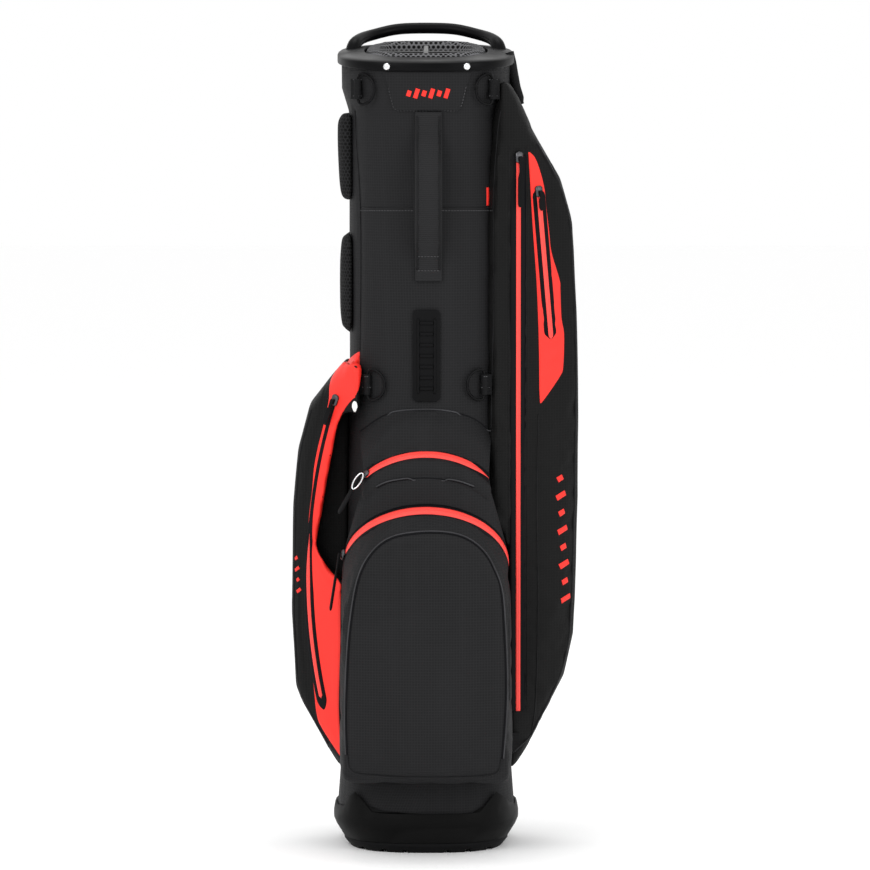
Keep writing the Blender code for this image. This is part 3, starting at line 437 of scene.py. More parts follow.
def lay_uv(mesh):
    """A UV map in metres: each face is projected along its main direction."""
    layer = mesh.uv_layers.get("UVMap") or mesh.uv_layers.new(name="UVMap")
    for polygon in mesh.polygons:
        normal = polygon.normal
        axis = max(range(3), key=lambda index: abs(normal[index]))
        pair = {0: (1, 2), 1: (0, 2), 2: (0, 1)}[axis]
        for loop in polygon.loop_indices:
            place = mesh.vertices[mesh.loops[loop].vertex_index].co
            layer.data[loop].uv = (place[pair[0]], place[pair[1]])


def paint(obj, material):
    """Gives an object one material and smooth shading."""
    obj.data.materials.clear()
    obj.data.materials.append(M[material])
    for polygon in obj.data.polygons:
        polygon.use_smooth = True


def finish_piece(obj, material, body=BAG):
    """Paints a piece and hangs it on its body."""
    paint(obj, material)
    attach(obj, body)
    return obj


def piece(name, vertices, faces, material, uvs=None, body=BAG):
    """A new mesh piece; uvs holds one pair a vertex, else the faces are box projected."""
    mesh = bpy.data.meshes.new(name)
    mesh.from_pydata([tuple(v) for v in vertices], [], faces)
    mesh.update()
    if uvs is None:
        lay_uv(mesh)
    else:
        layer = mesh.uv_layers.new(name="UVMap")
        for loop in mesh.loops:
            layer.data[loop.index].uv = uvs[loop.vertex_index]
    return finish_piece(link(bpy.data.objects.new(name, mesh)), material, body)


def grid_faces(columns, rows):
    """The four-sided faces of a grid whose vertices are laid row by row."""
    width = columns + 1
    corners = [row * width + column for row in range(rows) for column in range(columns)]
    return [[a, a + 1, a + 1 + width, a + width] for a in corners]


def tube_faces(rings, sides, start=0):
    """The side faces and the two flat ends of a tube whose vertices are laid ring by ring."""
    faces = []
    for ring in range(rings - 1):
        for corner in range(sides):
            a = start + ring * sides + corner
            b = start + ring * sides + (corner + 1) % sides
            faces.append([a, b, b + sides, a + sides])
    faces.append([start + corner for corner in range(sides)][::-1])
    faces.append([start + (rings - 1) * sides + corner for corner in range(sides)])
    return faces


def settle(obj):
    """Puts the result of an object's modifiers into its mesh."""
    graph = bpy.context.evaluated_depsgraph_get()
    mesh = bpy.data.meshes.new_from_object(obj.evaluated_get(graph))
    obj.modifiers.clear()
    obj.data = mesh


def coordinates(mesh):
    """A mesh's vertices as rows of x, y and z."""
    flat = np.zeros(len(mesh.vertices) * 3)
    mesh.vertices.foreach_get("co", flat)
    return flat.reshape(-1, 3)


def surface_of(objects):
    """One ray-castable surface from several meshes."""
    vertices, faces = [], []
    for obj in objects:
        start = len(vertices)
        vertices.extend(v.co.copy() for v in obj.data.vertices)
        faces.extend([start + index for index in p.vertices] for p in obj.data.polygons)
    return BVHTree.FromPolygons(vertices, faces)


def camera_place():
    """Where the camera stands."""
    back = Vector((0.0, -math.cos(CAMERA_ELEVATION), math.sin(CAMERA_ELEVATION)))
    return LOOK_AT + back * CAMERA_DISTANCE


def seen_on(surface, across, up):
    """Where the camera's ray through (across, up) on the plane y = 0 meets the surface."""
    eye = camera_place()
    target = Vector((across * MM, 0.0, up * MM))
    place, normal, _, _ = surface.ray_cast(eye, target - eye)
    if place is None:
        place, normal, _, _ = surface.find_nearest(Vector((across * MM, -0.09, up * MM)))
    return place, normal


def spline(points, step=3.0):
    """A smooth curve through plane points, resampled at about step."""
    corners = [Vector(p) for p in points]
    corners = [corners[0] * 2 - corners[1]] + corners + [corners[-1] * 2 - corners[-2]]
    fine = []
    for index in range(1, len(corners) - 2):
        a, b, c, d = corners[index - 1:index + 3]
        for part in range(16):
            t = part / 16
            fine.append(0.5 * (2 * b + (c - a) * t + (2 * a - 5 * b + 4 * c - d) * t * t
                               + (3 * b - a - 3 * c + d) * t ** 3))
    fine.append(corners[-2])
    return evenly(fine, step)


def evenly(points, step):
    """The same path with its points a steady step apart."""
    lengths = [0.0]
    for first, second in zip(points, points[1:]):
        lengths.append(lengths[-1] + (second - first).length)
    count = max(2, round(lengths[-1] / step) + 1)
    result, index = [], 0
    for place in range(count):
        goal = lengths[-1] * place / (count - 1)
        while index < len(lengths) - 2 and lengths[index + 1] < goal:
            index += 1
        span = max(lengths[index + 1] - lengths[index], 1e-9)
        result.append(points[index].lerp(points[index + 1], (goal - lengths[index]) / span))
    return result


def on_surface(surface, outline, step=3.0):
    """An outline's points and normals where it lies on the surface."""
    found = [seen_on(surface, p[0], p[1]) for p in spline(outline, step)]
    return soften([place for place, _ in found], [normal for _, normal in found])


def beside_surface(surface, points):
    """The nearest points of the surface to a path, and their normals."""
    found = [surface.find_nearest(point) for point in points]
    return soften([hit[0] for hit in found], [hit[1] for hit in found])


def soften(places, normals, passes=3):
    """Evens out small jumps along a path, so that a strip on it lies smoothly."""
    for _ in range(passes):
        places = smoothed(places)
        normals = [n.normalized() for n in smoothed(normals)]
    return places, normals


def smoothed(items):
    """Each item drawn towards its neighbours; the two ends stay."""
    inner = [(a + b * 2 + c) / 4 for a, b, c in zip(items, items[1:], items[2:])]
    return [items[0]] + inner + [items[-1]]


def directions(places):
    """The way along a path at each of its points."""
    ends = [places[0]] + places + [places[-1]]
    return [(after - before).normalized() for before, after in zip(ends, ends[2:])]


def sweep(places, normals, profile, taper=None, lift=0.0):
    """A profile of (across, out) points carried along a path on a surface, with flat ends."""
    vertices, uvs = [], []
    ways = directions(places)
    along = 0.0
    for index, (place, normal, way) in enumerate(zip(places, normals, ways)):
        if index:
            along += (place - places[index - 1]).length
        side = way.cross(normal).normalized()
        out = side.cross(way).normalized()
        share = taper(index / (len(places) - 1)) if taper else 1.0
        for across, height in profile:
            vertices.append(place + side * across * share + out * (height * max(share, 0.35) + lift))
            uvs.append((across * share, along))
    return vertices, tube_faces(len(places), len(profile)), uvs


def disc(radius, sides=8, squash=1.0, centre=0.0):
    """A round or oval profile."""
    angles = [2 * math.pi * side / sides for side in range(sides)]
    return [(math.cos(a) * radius, math.sin(a) * radius * squash + centre) for a in angles]


def slab(width, height=STRIP_HEIGHT, crown=0.0, parts=6):
    """A flat strip's profile with soft edges and a slightly crowned top."""
    half = width / 2
    top = []
    for part in range(parts + 1):
        across = half - width * part / parts
        drop = crown * (1 - (across / half) ** 2)
        edge = height * (0.35 if part in (0, parts) else 1.0)
        top.append((across, edge + drop))
    return top + [(-half, -STRIP_ROOT), (half, -STRIP_ROOT)]


def lay_strip(name, path, profile, material, taper=None, lift=0.0, body=BAG):
    """A piece with one profile carried along a path."""
    vertices, faces, uvs = sweep(path[0], path[1], profile, taper, lift)
    return piece(name, vertices, faces, material, uvs, body)


def shift(path, across):
    """The path moved sideways over its surface."""
    places, normals = path
    ways = directions(places)
    moved = [p + w.cross(n).normalized() * across for p, n, w in zip(places, normals, ways)]
    return moved, normals


def lay_stitches(name, paths, pitch=0.0032, length=0.0021, radius=0.0003, lift=0.0002):
    """A row of separate stitches along each path, as one piece."""
    vertices, faces = [], []
    for places, normals in paths:
        fine = evenly(places, pitch)
        span = max(len(fine) - 1, 1)
        for index, way in enumerate(directions(fine)):
            normal = normals[min(len(normals) - 1, round(index * (len(normals) - 1) / span))]
            add_stitch(vertices, faces, fine[index] + normal * lift, way, normal, length, radius)
    return piece(name, vertices, faces, "thread")


def add_stitch(vertices, faces, centre, way, normal, length, radius):
    """One six-sided stitch, narrower at its two ends."""
    side = way.cross(normal).normalized()
    start = len(vertices)
    for share, size in ((-0.5, 0.35), (-0.3, 1.0), (0.3, 1.0), (0.5, 0.35)):
        for corner in range(6):
            angle = corner * math.pi / 3
            offset = side * math.cos(angle) + normal * math.sin(angle)
            vertices.append(centre + way * length * share + offset * radius * size)
    faces.extend(tube_faces(4, 6, start))


def lay_panel(name, surface, first, second, over_edge=False, columns=22, rows=110):
    """A thin red panel between two outlines that share their ends.

    over_edge raises it where its tip crosses the pocket's top edge.
    """
    one = evenly(spline(first, 2.0), 1.0)
    two = evenly(spline(second, 2.0), 1.0)
    vertices, uvs = [], []
    for row in range(rows + 1):
        share = row / rows
        left = at_share(one, share)
        right = at_share(two, share)
        for column in range(columns + 1):
            spot = left.lerp(right, column / columns)
            place, normal = seen_on(surface, spot[0], spot[1])
            edge = column in (0, columns) or row in (0, rows)
            rise = PANEL_RISE
            if over_edge:
                rise += TIP_RISE * max(0.0, 1 - abs(share - TIP_SHARE) / TIP_REACH)
            vertices.append(place + normal * (-PANEL_ROOT if edge else rise))
            uvs.append((spot[0] * MM, spot[1] * MM))
    relax(vertices, columns + 1, rows)
    return piece(name, vertices, grid_faces(columns, rows), "red", uvs)


def relax(vertices, width, rows, passes=4):
    """Evens out the depth of a grid's inner points."""
    for _ in range(passes):
        depths = [v.y for v in vertices]
        for row in range(1, rows):
            for column in range(1, width - 1):
                a = row * width + column
                around = depths[a - 1] + depths[a + 1] + depths[a - width] + depths[a + width]
                vertices[a].y = min(depths[a], (depths[a] + around / 4) / 2)


def at_share(points, share):
    """The place at a share of a path's points."""
    place = share * (len(points) - 1)
    index = min(int(place), len(points) - 2)
    return points[index].lerp(points[index + 1], place - index)


# ---------------------------------------------------------------- soft goods


def soft_copy(node, name, voxel=VOXEL, smoothing=3):
    """A CAD soft solid as an even, softened skin of its own."""
    obj = link(bpy.data.objects.new(name, NODES[node].data.copy()))
    remesh = obj.modifiers.new("Remesh", "REMESH")
    remesh.mode = "VOXEL"
    remesh.voxel_size = voxel
    smooth = obj.modifiers.new("Smooth", "SMOOTH")
    smooth.factor = 0.5
    smooth.iterations = smoothing
    settle(obj)
    return obj


def inflate(obj, held, pressure=4.0, cap=0.006, slack=0.0):
    """Fills a piece with air pressure by cloth simulation; no point goes further than cap."""
    before = coordinates(obj.data)
    group = obj.vertex_groups.new(name="held")
    group.add([int(index) for index in np.flatnonzero(held)], 1.0, "REPLACE")
    cloth = obj.modifiers.new("Cloth", "CLOTH")
    settings = cloth.settings
    settings.quality = 4
    settings.tension_stiffness = 12
    settings.compression_stiffness = 12
    settings.bending_stiffness = 0.4
    settings.use_pressure = True
    settings.uniform_pressure_force = pressure
    settings.shrink_min = -slack
    settings.vertex_group_mass = "held"
    settings.effector_weights.gravity = 0.0
    cloth.collision_settings.use_collision = False
    for step in range(1, PRESSURE_FRAMES + 1):
        bpy.context.scene.frame_set(step)
    settle(obj)
    bpy.context.scene.frame_set(1)
    moved = coordinates(obj.data) - before
    travel = np.linalg.norm(moved, axis=1, keepdims=True)
    capped = before + moved * np.minimum(1.0, cap / np.maximum(travel, 1e-9))
    obj.data.vertices.foreach_set("co", capped.ravel())
    obj.vertex_groups.clear()


def add_subdivision(obj):
    surface = obj.modifiers.new("Subdivision", "SUBSURF")
    surface.levels = 1
    surface.render_levels = 1


def divide(obj):
    """One settled subdivision."""
    add_subdivision(obj)
    settle(obj)


def vertex_normals(mesh):
    flat = np.zeros(len(mesh.vertices) * 3)
    mesh.vertex_normals.foreach_get("vector", flat)
    return flat.reshape(-1, 3)


def push(obj, heights):
    """Moves each vertex along its normal by its own height."""
    mesh = obj.data
    moved = coordinates(mesh) + vertex_normals(mesh) * np.asarray(heights)[:, None]
    mesh.vertices.foreach_set("co", moved.ravel())
    mesh.update()


def wrinkle(obj, height, scale, stretch=(1.0, 1.0, 1.0), seed=0.0, held=None):
    """Slack in the cloth: slow ridges between the held seams."""
    offset = Vector((seed, seed, seed))
    heights = []
    for point in coordinates(obj.data):
        spot = Vector(point * np.array(stretch)) * scale + offset
        heights.append((1 - abs(noise.noise(spot)) * 2) * height)
    if held is not None:
        heights = np.where(held, 0.0, heights)
    push(obj, heights)


def distances_to(points, paths):
    """How far each point is from the nearest point of any path."""
    places = [place for path in paths for place in path[0]]
    tree = KDTree(len(places))
    for index, place in enumerate(places):
        tree.insert(place, index)
    tree.balance()
    return np.array([tree.find(Vector(point))[2] for point in points])


def groove(obj, paths, depth, width=GROOVE_WIDTH):
    """Presses a seam into a piece along each path."""
    reach = distances_to(coordinates(obj.data), paths)
    push(obj, -depth * np.exp(-(reach / width) ** 2))


def top_of(solid, way, highest):
    """The height of a solid's upper edge on one side."""
    height = highest
    while solid.ray_cast(Vector((0, 0, height)) + way * 0.3, -way)[0] is None:
        height -= 0.001
    return height


def wrap_tube():
    """The bag's fabric tube as an even skin over its solid, with arc-length UVs."""
    low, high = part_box("body_shell")
    solid = surface_of([NODES["body_shell"]])
    columns, rows = 180, 200
    ways = [2 * math.pi * column / columns for column in range(columns + 1)]
    ways = [Vector((math.sin(angle), -math.cos(angle), 0.0)) for angle in ways]
    tops = [top_of(solid, way, high.z - 0.0005) for way in ways]
    vertices, uvs = [], []
    for row in range(rows + 1):
        around = 0.0
        for column, way in enumerate(ways):
            height = low.z + 0.001 + (tops[column] - low.z - 0.001) * row / rows
            place = solid.ray_cast(Vector((0, 0, height)) + way * 0.3, -way)[0]
            if column:
                around += (place - vertices[-1]).length
            vertices.append(place)
            uvs.append((around, place.z))
    return piece("body_fabric_tube", vertices, grid_faces(columns, rows), "front", uvs)


def track(which, before, after, step=0.003):
    """The path a zip's slider runs along, from its joint, made longer at each end."""
    joint = JOINTS["zip_slide_" + which]
    low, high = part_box("zip_slider_" + which)
    start = (low + high) / 2
    axis = Vector(joint["axis"]).normalized()
    if joint["type"] == "slide":
        length = joint["range_m"][1] + before + after
        count = max(2, round(length / step))
        return [start + axis * (length * part / count - before) for part in range(count + 1)]
    centre = Vector(joint["pos_m"])
    arm = start - centre
    radius = (arm - axis * arm.dot(axis)).length
    first = -before / radius
    last = math.radians(joint["range_deg"][1]) + after / radius
    count = max(2, round((last - first) * radius / step))
    angles = [first + (last - first) * part / count for part in range(count + 1)]
    return [centre + Matrix.Rotation(angle, 3, axis) @ arm for angle in angles]


def pocket_paths(obj, node):
    """A pocket's seams and zips, laid on its own skin."""
    surface = surface_of([obj])
    outlines, tracks = SEWN[node]
    seams = [on_surface(surface, outline) for outline in outlines]
    return seams + [beside_surface(surface, points) for points in tracks]


def finish_pocket(obj, node, material, paths, ridge, stretch, seed):
    """Subdivides and creases a pocket's skin and puts it in the place of its CAD solid."""
    divide(obj)
    still = distances_to(coordinates(obj.data), paths) < CREASE_HOLD
    wrinkle(obj, ridge, CREASE_SCALE, (1.0, 1.0, stretch), seed, still)
    lay_uv(obj.data)
    finish_piece(obj, material)
    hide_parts(node)
    return obj


def make_pocket(node, material, back, pressure, cap, slack, ridge, seed):
    """One pocket: held at its seams, its zips and behind back, filled with air, then creased."""
    obj = soft_copy(node, node + "_cloth")
    paths = pocket_paths(obj, node)
    points = coordinates(obj.data)
    held = (points[:, 1] > back) | (distances_to(points, paths) < SEAM_HOLD)
    inflate(obj, held, pressure, cap, slack)
    return finish_pocket(obj, node, material, paths, ridge, 0.55, seed)


tube = wrap_tube()
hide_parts("body_shell")
tube_skin = surface_of([tube])
tube_seams = (LEFT_SEAM, RIGHT_SEAM, CROSS_SEAM_LEFT, CROSS_SEAM_RIGHT)
tube_paths = [on_surface(tube_skin, line) for line in tube_seams]
tube_held = distances_to(coordinates(tube.data), tube_paths) < SEAM_HOLD
wrinkle(tube, 0.0006, 22.0, (1.0, 1.0, 0.3), 3.0, tube_held)
groove(tube, tube_paths, 0.0008)

BALL_TRACK = track("ball", before=0.008, after=0.030)
UPPER_TRACK = track("upper", before=0.004, after=0.006)
RIGHT_TRACK = track("right", before=0.002, after=0.036)
PANEL_TRACK = track("panel", before=0.004, after=0.006)
LEFT_TRACK = track("left", before=0.006, after=0.012)

# What each pocket is sewn along: its outlines, then its zips.
SEWN = {
    "ball_pocket": ((BALL_ARCH, BALL_FOOT, MID_SEAM), (BALL_TRACK,)),
    "upper_pocket": ((TOP_ARC,), (UPPER_TRACK,)),
    "right_pocket": ((RIGHT_PANEL_INNER, RIGHT_PANEL_OUTER), (RIGHT_TRACK, PANEL_TRACK)),
    "left_pocket": ((LEFT_PANEL_INNER, LEFT_PANEL_OUTER), (LEFT_TRACK,)),
}


def tuck(obj, pocket, reach=0.006, depth=0.004):
    """Draws the tube's cloth back where a pocket is sewn over it."""
    cover = surface_of([pocket])
    gaps = [cover.find_nearest(Vector(point))[3] for point in coordinates(obj.data)]
    push(obj, [-depth * max(0.0, 1 - gap / reach) ** 0.5 for gap in gaps])


ball = make_pocket("ball_pocket", "front", back=FRONT_POCKET_BACK, pressure=4.0, cap=0.006,
                   slack=0.01, ridge=0.0006, seed=1.0)
upper = make_pocket("upper_pocket", "front", back=FRONT_POCKET_BACK, pressure=4.0, cap=0.005,
                    slack=0.02, ridge=0.0010, seed=2.0)
right = make_pocket("right_pocket", "side", back=SIDE_POCKET_BACK, pressure=3.0, cap=0.005,
                    slack=0.01, ridge=0.0007, seed=3.0)
left = soft_copy("left_pocket", "left_pocket_cloth", FINE_VOXEL, 2)
left_lines = pocket_paths(left, "left_pocket")
finish_pocket(left, "left_pocket", "side", left_lines, ridge=0.0007, stretch=0.5, seed=4.0)

tuck(tube, ball)


def lay_bridge(name, top, bottom, swell, crease, columns=64, rows=22):
    """A sheet of cloth between two paths, crowned by swell and softly creased."""
    vertices = []
    for row in range(rows + 1):
        share = row / rows
        for column in range(columns + 1):
            across = column / columns
            spot = at_share(top, across).lerp(at_share(bottom, across), share)
            bow = swell * math.sin(math.pi * share)
            fold = noise.noise(Vector((across * 5 + share * 2, share * 1.6 - across * 2, 0.3)))
            sag = crease * fold * math.sin(math.pi * share)
            vertices.append(spot + Vector((0, -bow - sag, bow * 0.3)))
    return piece(name, vertices, grid_faces(columns, rows), "front")


def lifted(path, across, height):
    """A path moved over its surface and off it."""
    places, normals = shift(path, across)
    return [place + normal * height for place, normal in zip(places, normals)]


ball_skin = surface_of([ball])
upper_skin = surface_of([upper])
ball_line = beside_surface(ball_skin, BALL_TRACK)
upper_line = beside_surface(upper_skin, UPPER_TRACK)
ball_rear = (ball_line[0][3:-8], ball_line[1][3:-8])
middle = len(upper_line[0]) // 2
upward = 1 if shift(upper_line, 0.01)[0][middle].z > upper_line[0][middle].z else -1
saddle = lay_bridge("saddle_cloth", lifted(upper_line, -upward * TAPE_HALF, 0.0006),
                    lifted(ball_rear, upward * TAPE_HALF, 0.0006), swell=0.003, crease=0.001)
top_line = on_surface(surface_of([tube, upper]), TOP_ARC, 1.0)
flap = lay_bridge("upper_flap_cloth", lifted(top_line, 0.0, 0.0010),
                  lifted(upper_line, upward * TAPE_HALF, 0.0008), swell=0.0040, crease=0.0024)

skin = surface_of([tube, ball, upper, saddle, flap, right, left])


# ---------------------------------------------------------------- seams, zips and trim


def piping(radius):
    """The profile of piping that is half sunk into its seam."""
    return disc(radius, 8, 0.8, radius * 0.3)


def seam(name, outline, radius=0.0011):
    """A piped seam along an outline."""
    lay_strip(name, on_surface(skin, outline, PATH_STEP), piping(radius), "piping")


def lens_taper(start, end):
    """Full width in the middle, narrowing over the first and last shares of the length."""
    def taper(share):
        grow = min(1.0, share / start) if start else 1.0
        shrink = min(1.0, (1 - share) / end) if end else 1.0
        edge = min(grow, shrink)
        return max(0.08, math.sin(edge * math.pi / 2))
    return taper


def lay_zip(name, surface, path_points, width, tape_width, taper=None):
    """A sealed zip: black tape on the cloth with the coated flaps in relief on it."""
    path = beside_surface(surface, path_points)
    lay_strip(name + "_tape", path, slab(tape_width), "tape", lift=0.0001)
    lay_strip(name + "_flaps", path, slab(width, crown=0.0004), "zip", taper=taper, lift=0.0005)


lay_zip("ball_zip", ball_skin, BALL_TRACK, 0.0105, 0.021, lens_taper(0.12, 0.16))
lay_zip("upper_zip", upper_skin, UPPER_TRACK, 0.0100, 0.020, lens_taper(0.04, 0.22))
lay_zip("right_zip", skin, RIGHT_TRACK, 0.0052, 0.0175)


def double_seam(name, outline, outward, radius=0.0010):
    """Piping with a painted highlight beside it: a thin paler strip standing in for the light caught along
    the seam's edge.
    """
    path = on_surface(skin, outline, PATH_STEP)
    lay_strip(name + "_piping", path, piping(radius), "tape")
    # The fold strip just outside the piping is the painted highlight.
    fold = (lifted(path, outward, 0.0004), path[1])
    lay_strip(name + "_painted_highlight", fold, disc(0.0008, 8, 0.9, 0.0005), "fold")


double_seam("ball_arch", BALL_ARCH, -0.0017)
double_seam("upper_pocket", TOP_ARC, -0.0009)
double_seam("pocket_divide", MID_SEAM, -0.0014, 0.0008)
seam("ball_foot_piping", BALL_FOOT)
seam("left_front_seam", LEFT_SEAM, 0.0007)
seam("right_front_seam", RIGHT_SEAM, 0.0007)
lay_stitches("cross_seam_stitches", [on_surface(skin, line, PATH_STEP) for line in CROSS_STITCHES])
seam("cross_seam_left", CROSS_SEAM_LEFT, 0.0005)
seam("cross_seam_right", CROSS_SEAM_RIGHT, 0.0005)

right_skin = surface_of([right])
left_skin = surface_of([left])
lay_panel("right_red_panel", right_skin, RIGHT_PANEL_INNER, RIGHT_PANEL_OUTER)
lay_panel("left_red_panel", surface_of([left, tube]), LEFT_PANEL_INNER, LEFT_PANEL_OUTER, over_edge=True)
panel_path = beside_surface(skin, PANEL_TRACK)
lay_strip("panel_zip_tape", panel_path, slab(0.0150), "tape",
          taper=lens_taper(0.05, 0.05), lift=PANEL_RISE)
lay_strip("panel_zip_flaps", panel_path, slab(0.0058, crown=0.0003), "zip",
          taper=lens_taper(0.03, 0.03), lift=0.0012)
left_path = beside_surface(left_skin, LEFT_TRACK)


def race_taper(share):
    """A narrow seam above that opens to a wide, round-ended zip bed below."""
    wide = 0.34 + 0.66 * min(1.0, max(0.0, (share - 0.40) / 0.25))
    return wide * math.sqrt(max(0.02, min(1.0, (1 - share) / 0.03)))


def part_of(path, first, last):
    """The stretch of a path between two shares of its length."""
    count = len(path[0]) - 1
    start, stop = round(first * count), round(last * count) + 1
    return path[0][start:stop], path[1][start:stop]


lay_strip("left_zip_tape", left_path, slab(0.0138), "tape", taper=race_taper, lift=PANEL_RISE)
left_bed = part_of(left_path, 0.45, 0.965)
lay_strip("left_zip_flaps", left_bed, slab(0.0050, crown=0.0003), "zip",
          taper=lens_taper(0.3, 0.02), lift=0.0012)


# ---------------------------------------------------------------- small trim


def outline_of(obj, side, heights, corner, slope, step=0.006):
    """The front outer edge of a side pocket.

    corner is the (across, depth) where its facet starts, slope how fast the facet runs back.
    """
    solid = surface_of([obj])
    places, normals = [], []
    for height in np.arange(heights[0], heights[1], step):
        reach = 0.0
        for depth in np.arange(-0.15, 0.1, 0.004):
            place = solid.ray_cast(Vector((side * 0.3, depth, height)), Vector((-side, 0, 0)))[0]
            reach = max(reach, place.x * side) if place else reach
        edge = Vector((side * reach, corner[1] + slope * (reach - corner[0]), height))
        place, normal, _, _ = solid.find_nearest(edge)
        places.append(place)
        normals.append(normal)
    return soften(places, normals, 8)


def lay_bars(name, surface, start, end, count, half_width, slant):
    """A generic woven mark: slanted bars in a row between two points."""
    for number in range(count):
        share = (number + 0.5) / count
        along = Vector(start).lerp(Vector(end), share)
        lean = Vector(slant) * (0.6 + 0.4 * (number % 2))
        path = on_surface(surface, (along - lean, along, along + lean), 1.0)
        lay_strip(f"{name}_{number + 1}", path, slab(half_width * 2 * MM, 0.0005), "red")


right_edge = outline_of(right, 1, heights=(0.12, 0.75), corner=(0.106, -0.066), slope=0.55)
left_edge = outline_of(left, -1, heights=(0.11, 0.47), corner=(0.070, -0.087), slope=0.80)
lay_strip("right_pocket_piping", right_edge, disc(0.0013), "piping")
lay_strip("left_pocket_piping", left_edge, disc(0.0013), "piping")
seam("right_facet_seam", RIGHT_FACET_SEAM, 0.0007)
seam("right_zip_seam_inner", ZIP_SEAM_INNER, 0.0004)
seam("right_zip_seam_outer", ZIP_SEAM_OUTER, 0.0004)
lay_bars("right_mark", right_skin, (141.5, 396), (148.5, 250), count=8, half_width=2.9, slant=(4.6, 3.0))
lay_bars("left_mark", left_skin, (-138, 308), (-134.5, 262), count=4, half_width=1.8, slant=(2.0, 1.6))
lay_strip("side_tag", on_surface(skin, SIDE_TAG, 1.0), slab(0.0042, 0.0008), "red")
lay_strip("round_tag", on_surface(skin, ROUND_TAG, 0.5), slab(0.0064, 0.0012), "print",
          taper=lambda share: math.sqrt(max(0.01, 1 - (2 * share - 1) ** 2)), lift=0.0006)


# ---------------------------------------------------------------- CAD parts that keep their shape


def dress(node, material, bevel=0.0, rounded=False):
    """Gives a CAD part its finish, with edges rounded by modifiers only."""
    obj = NODES[node]
    lay_uv(obj.data)
    paint(obj, material)
    obj.modifiers.new("Weld", "WELD").merge_threshold = 0.00002
    if bevel:
        rounding = obj.modifiers.new("Bevel", "BEVEL")
        rounding.width = bevel
        rounding.segments = 2
        rounding.limit_method = "ANGLE"
        rounding.angle_limit = math.radians(35)
    if rounded:
        add_subdivision(obj)


CORNERS = ("upper_left", "upper_right", "lower_left", "lower_right")
FINISHES = (
    ("top_collar", "plastic", 0.0008), ("top_divider", "fleece", 0.0010),
    ("divider_panel_wide", "fleece", 0.0), ("divider_panel_front", "fleece", 0.0),
    ("divider_panel_rear", "fleece", 0.0), ("stay_left", "glass", 0.0), ("stay_right", "glass", 0.0),
    ("base_boot", "sole", 0.0010), ("base_sole", "rubber", 0.0006), ("stand_foot", "sole", 0.0008),
    ("foot_pin", "steel", 0.0003), ("collar_rivet_left", "chrome", 0.0004),
    ("collar_rivet_right", "chrome", 0.0004), ("webbing_tab", "webbing", 0.0003),
    ("leg_bracket", "plastic", 0.0008), ("badge_flap", "front", 0.0006),
    ("grip_patch", "rubber", 0.0008), ("grab_handle", "handle", 0.0006),
)
for node, material, bevel in FINISHES:
    dress(node, material, bevel)
for corner in CORNERS:
    dress("d_ring_" + corner, "ring", rounded=True)
    dress("d_tab_" + corner, "webbing", 0.0004)
for side in ("left", "right"):
    dress("leg_pin_" + side, "steel", 0.0003)
    dress("leg_knuckle_" + side, "plastic", 0.0006)
    dress("leg_tube_" + side, "aluminium")
    dress("leg_foot_" + side, "rubber", 0.0006)
    dress("leg_clip_" + side, "plastic", 0.0005)
    dress("rod_" + side, "steel")
for which in ("ball", "upper", "left", "right", "panel"):
    dress("zip_slider_" + which, "slider", 0.0004)
    dress("zip_pull_" + which, "rubber", 0.0004)


def held_side(node, points, margin=0.004):
    """The side of a padded piece that is sewn down: inwards on a hip pad, below on the cuff."""
    low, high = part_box(node)
    if node == "cuff_padding":
        return points[:, 2] < low.z + margin
    return np.abs(points[:, 0]) < abs(low.x + high.x) / 2 - margin


for node, name, material in (
    ("hip_pad_upper", "hip_pad_upper_cloth", "mesh"),
    ("hip_pad_lower", "hip_pad_lower_cloth", "mesh"),
    ("cuff_padding", "cuff_cloth", "cuff"),
):
    pad = soft_copy(node, name, FINE_VOXEL, 2)
    inflate(pad, held_side(node, coordinates(pad.data)), pressure=3.0, cap=0.004)
    divide(pad)
    lay_uv(pad.data)
    finish_piece(pad, material)
    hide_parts(node)

badge_skin = surface_of([NODES["badge_flap"]])
lay_stitches("badge_hem_stitches", [on_surface(badge_skin, BADGE_HEM, 2.0)])
lay_bars("badge_mark", badge_skin, (-22, 794), (26, 794), count=6, half_width=2.3, slant=(1.6, 5.0))

patch_skin = surface_of([NODES["grip_patch"]])
for number in range(7):
    height = 482 + number * 11.6
    rung = on_surface(patch_skin, ((-6.4, height), (PATCH_CENTRE, height), (7.4, height)), 1.0)
    lay_strip(f"grip_rung_{number + 1}", rung, disc(0.0022, 8, 0.7), "rubber")
for side, across in (("left", -8.2), ("right", 9.2)):
    rail = on_surface(patch_skin, ((across, 477), (across, 515), (across, 556)), 2.0)
    lay_strip("grip_rail_" + side, rail, disc(0.0016, 8, 0.8), "rubber")

handle_skin = surface_of([NODES["grab_handle"]])
for side, across in (("left", HANDLE_LEFT), ("right", HANDLE_RIGHT)):
    edge = on_surface(handle_skin, ((across, 770), (across, 720), (across, 660), (across, 608)), 2.5)
    lay_strip("grab_handle_edge_" + side, edge, disc(0.0012, 8, 0.8), "piping")
rows = [((HANDLE_LEFT + 2, level), (HANDLE_RIGHT - 2, level)) for level in HANDLE_STITCH_LEVELS]
lay_stitches("grab_handle_stitches", [on_surface(handle_skin, line, 2.0) for line in rows])

for corner in CORNERS:
    low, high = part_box("d_tab_" + corner)
    tab_skin = surface_of([NODES["d_tab_" + corner]])
    start, stop = low.x / MM + TAB_INSET, high.x / MM - TAB_INSET
    foot, head = low.z / MM + TAB_INSET, high.z / MM - TAB_INSET
    rows = (((start, foot), (stop, foot)), ((stop, head), (start, head)))
    lay_stitches("d_tab_stitches_" + corner, [on_surface(tab_skin, line, 1.5) for line in rows])


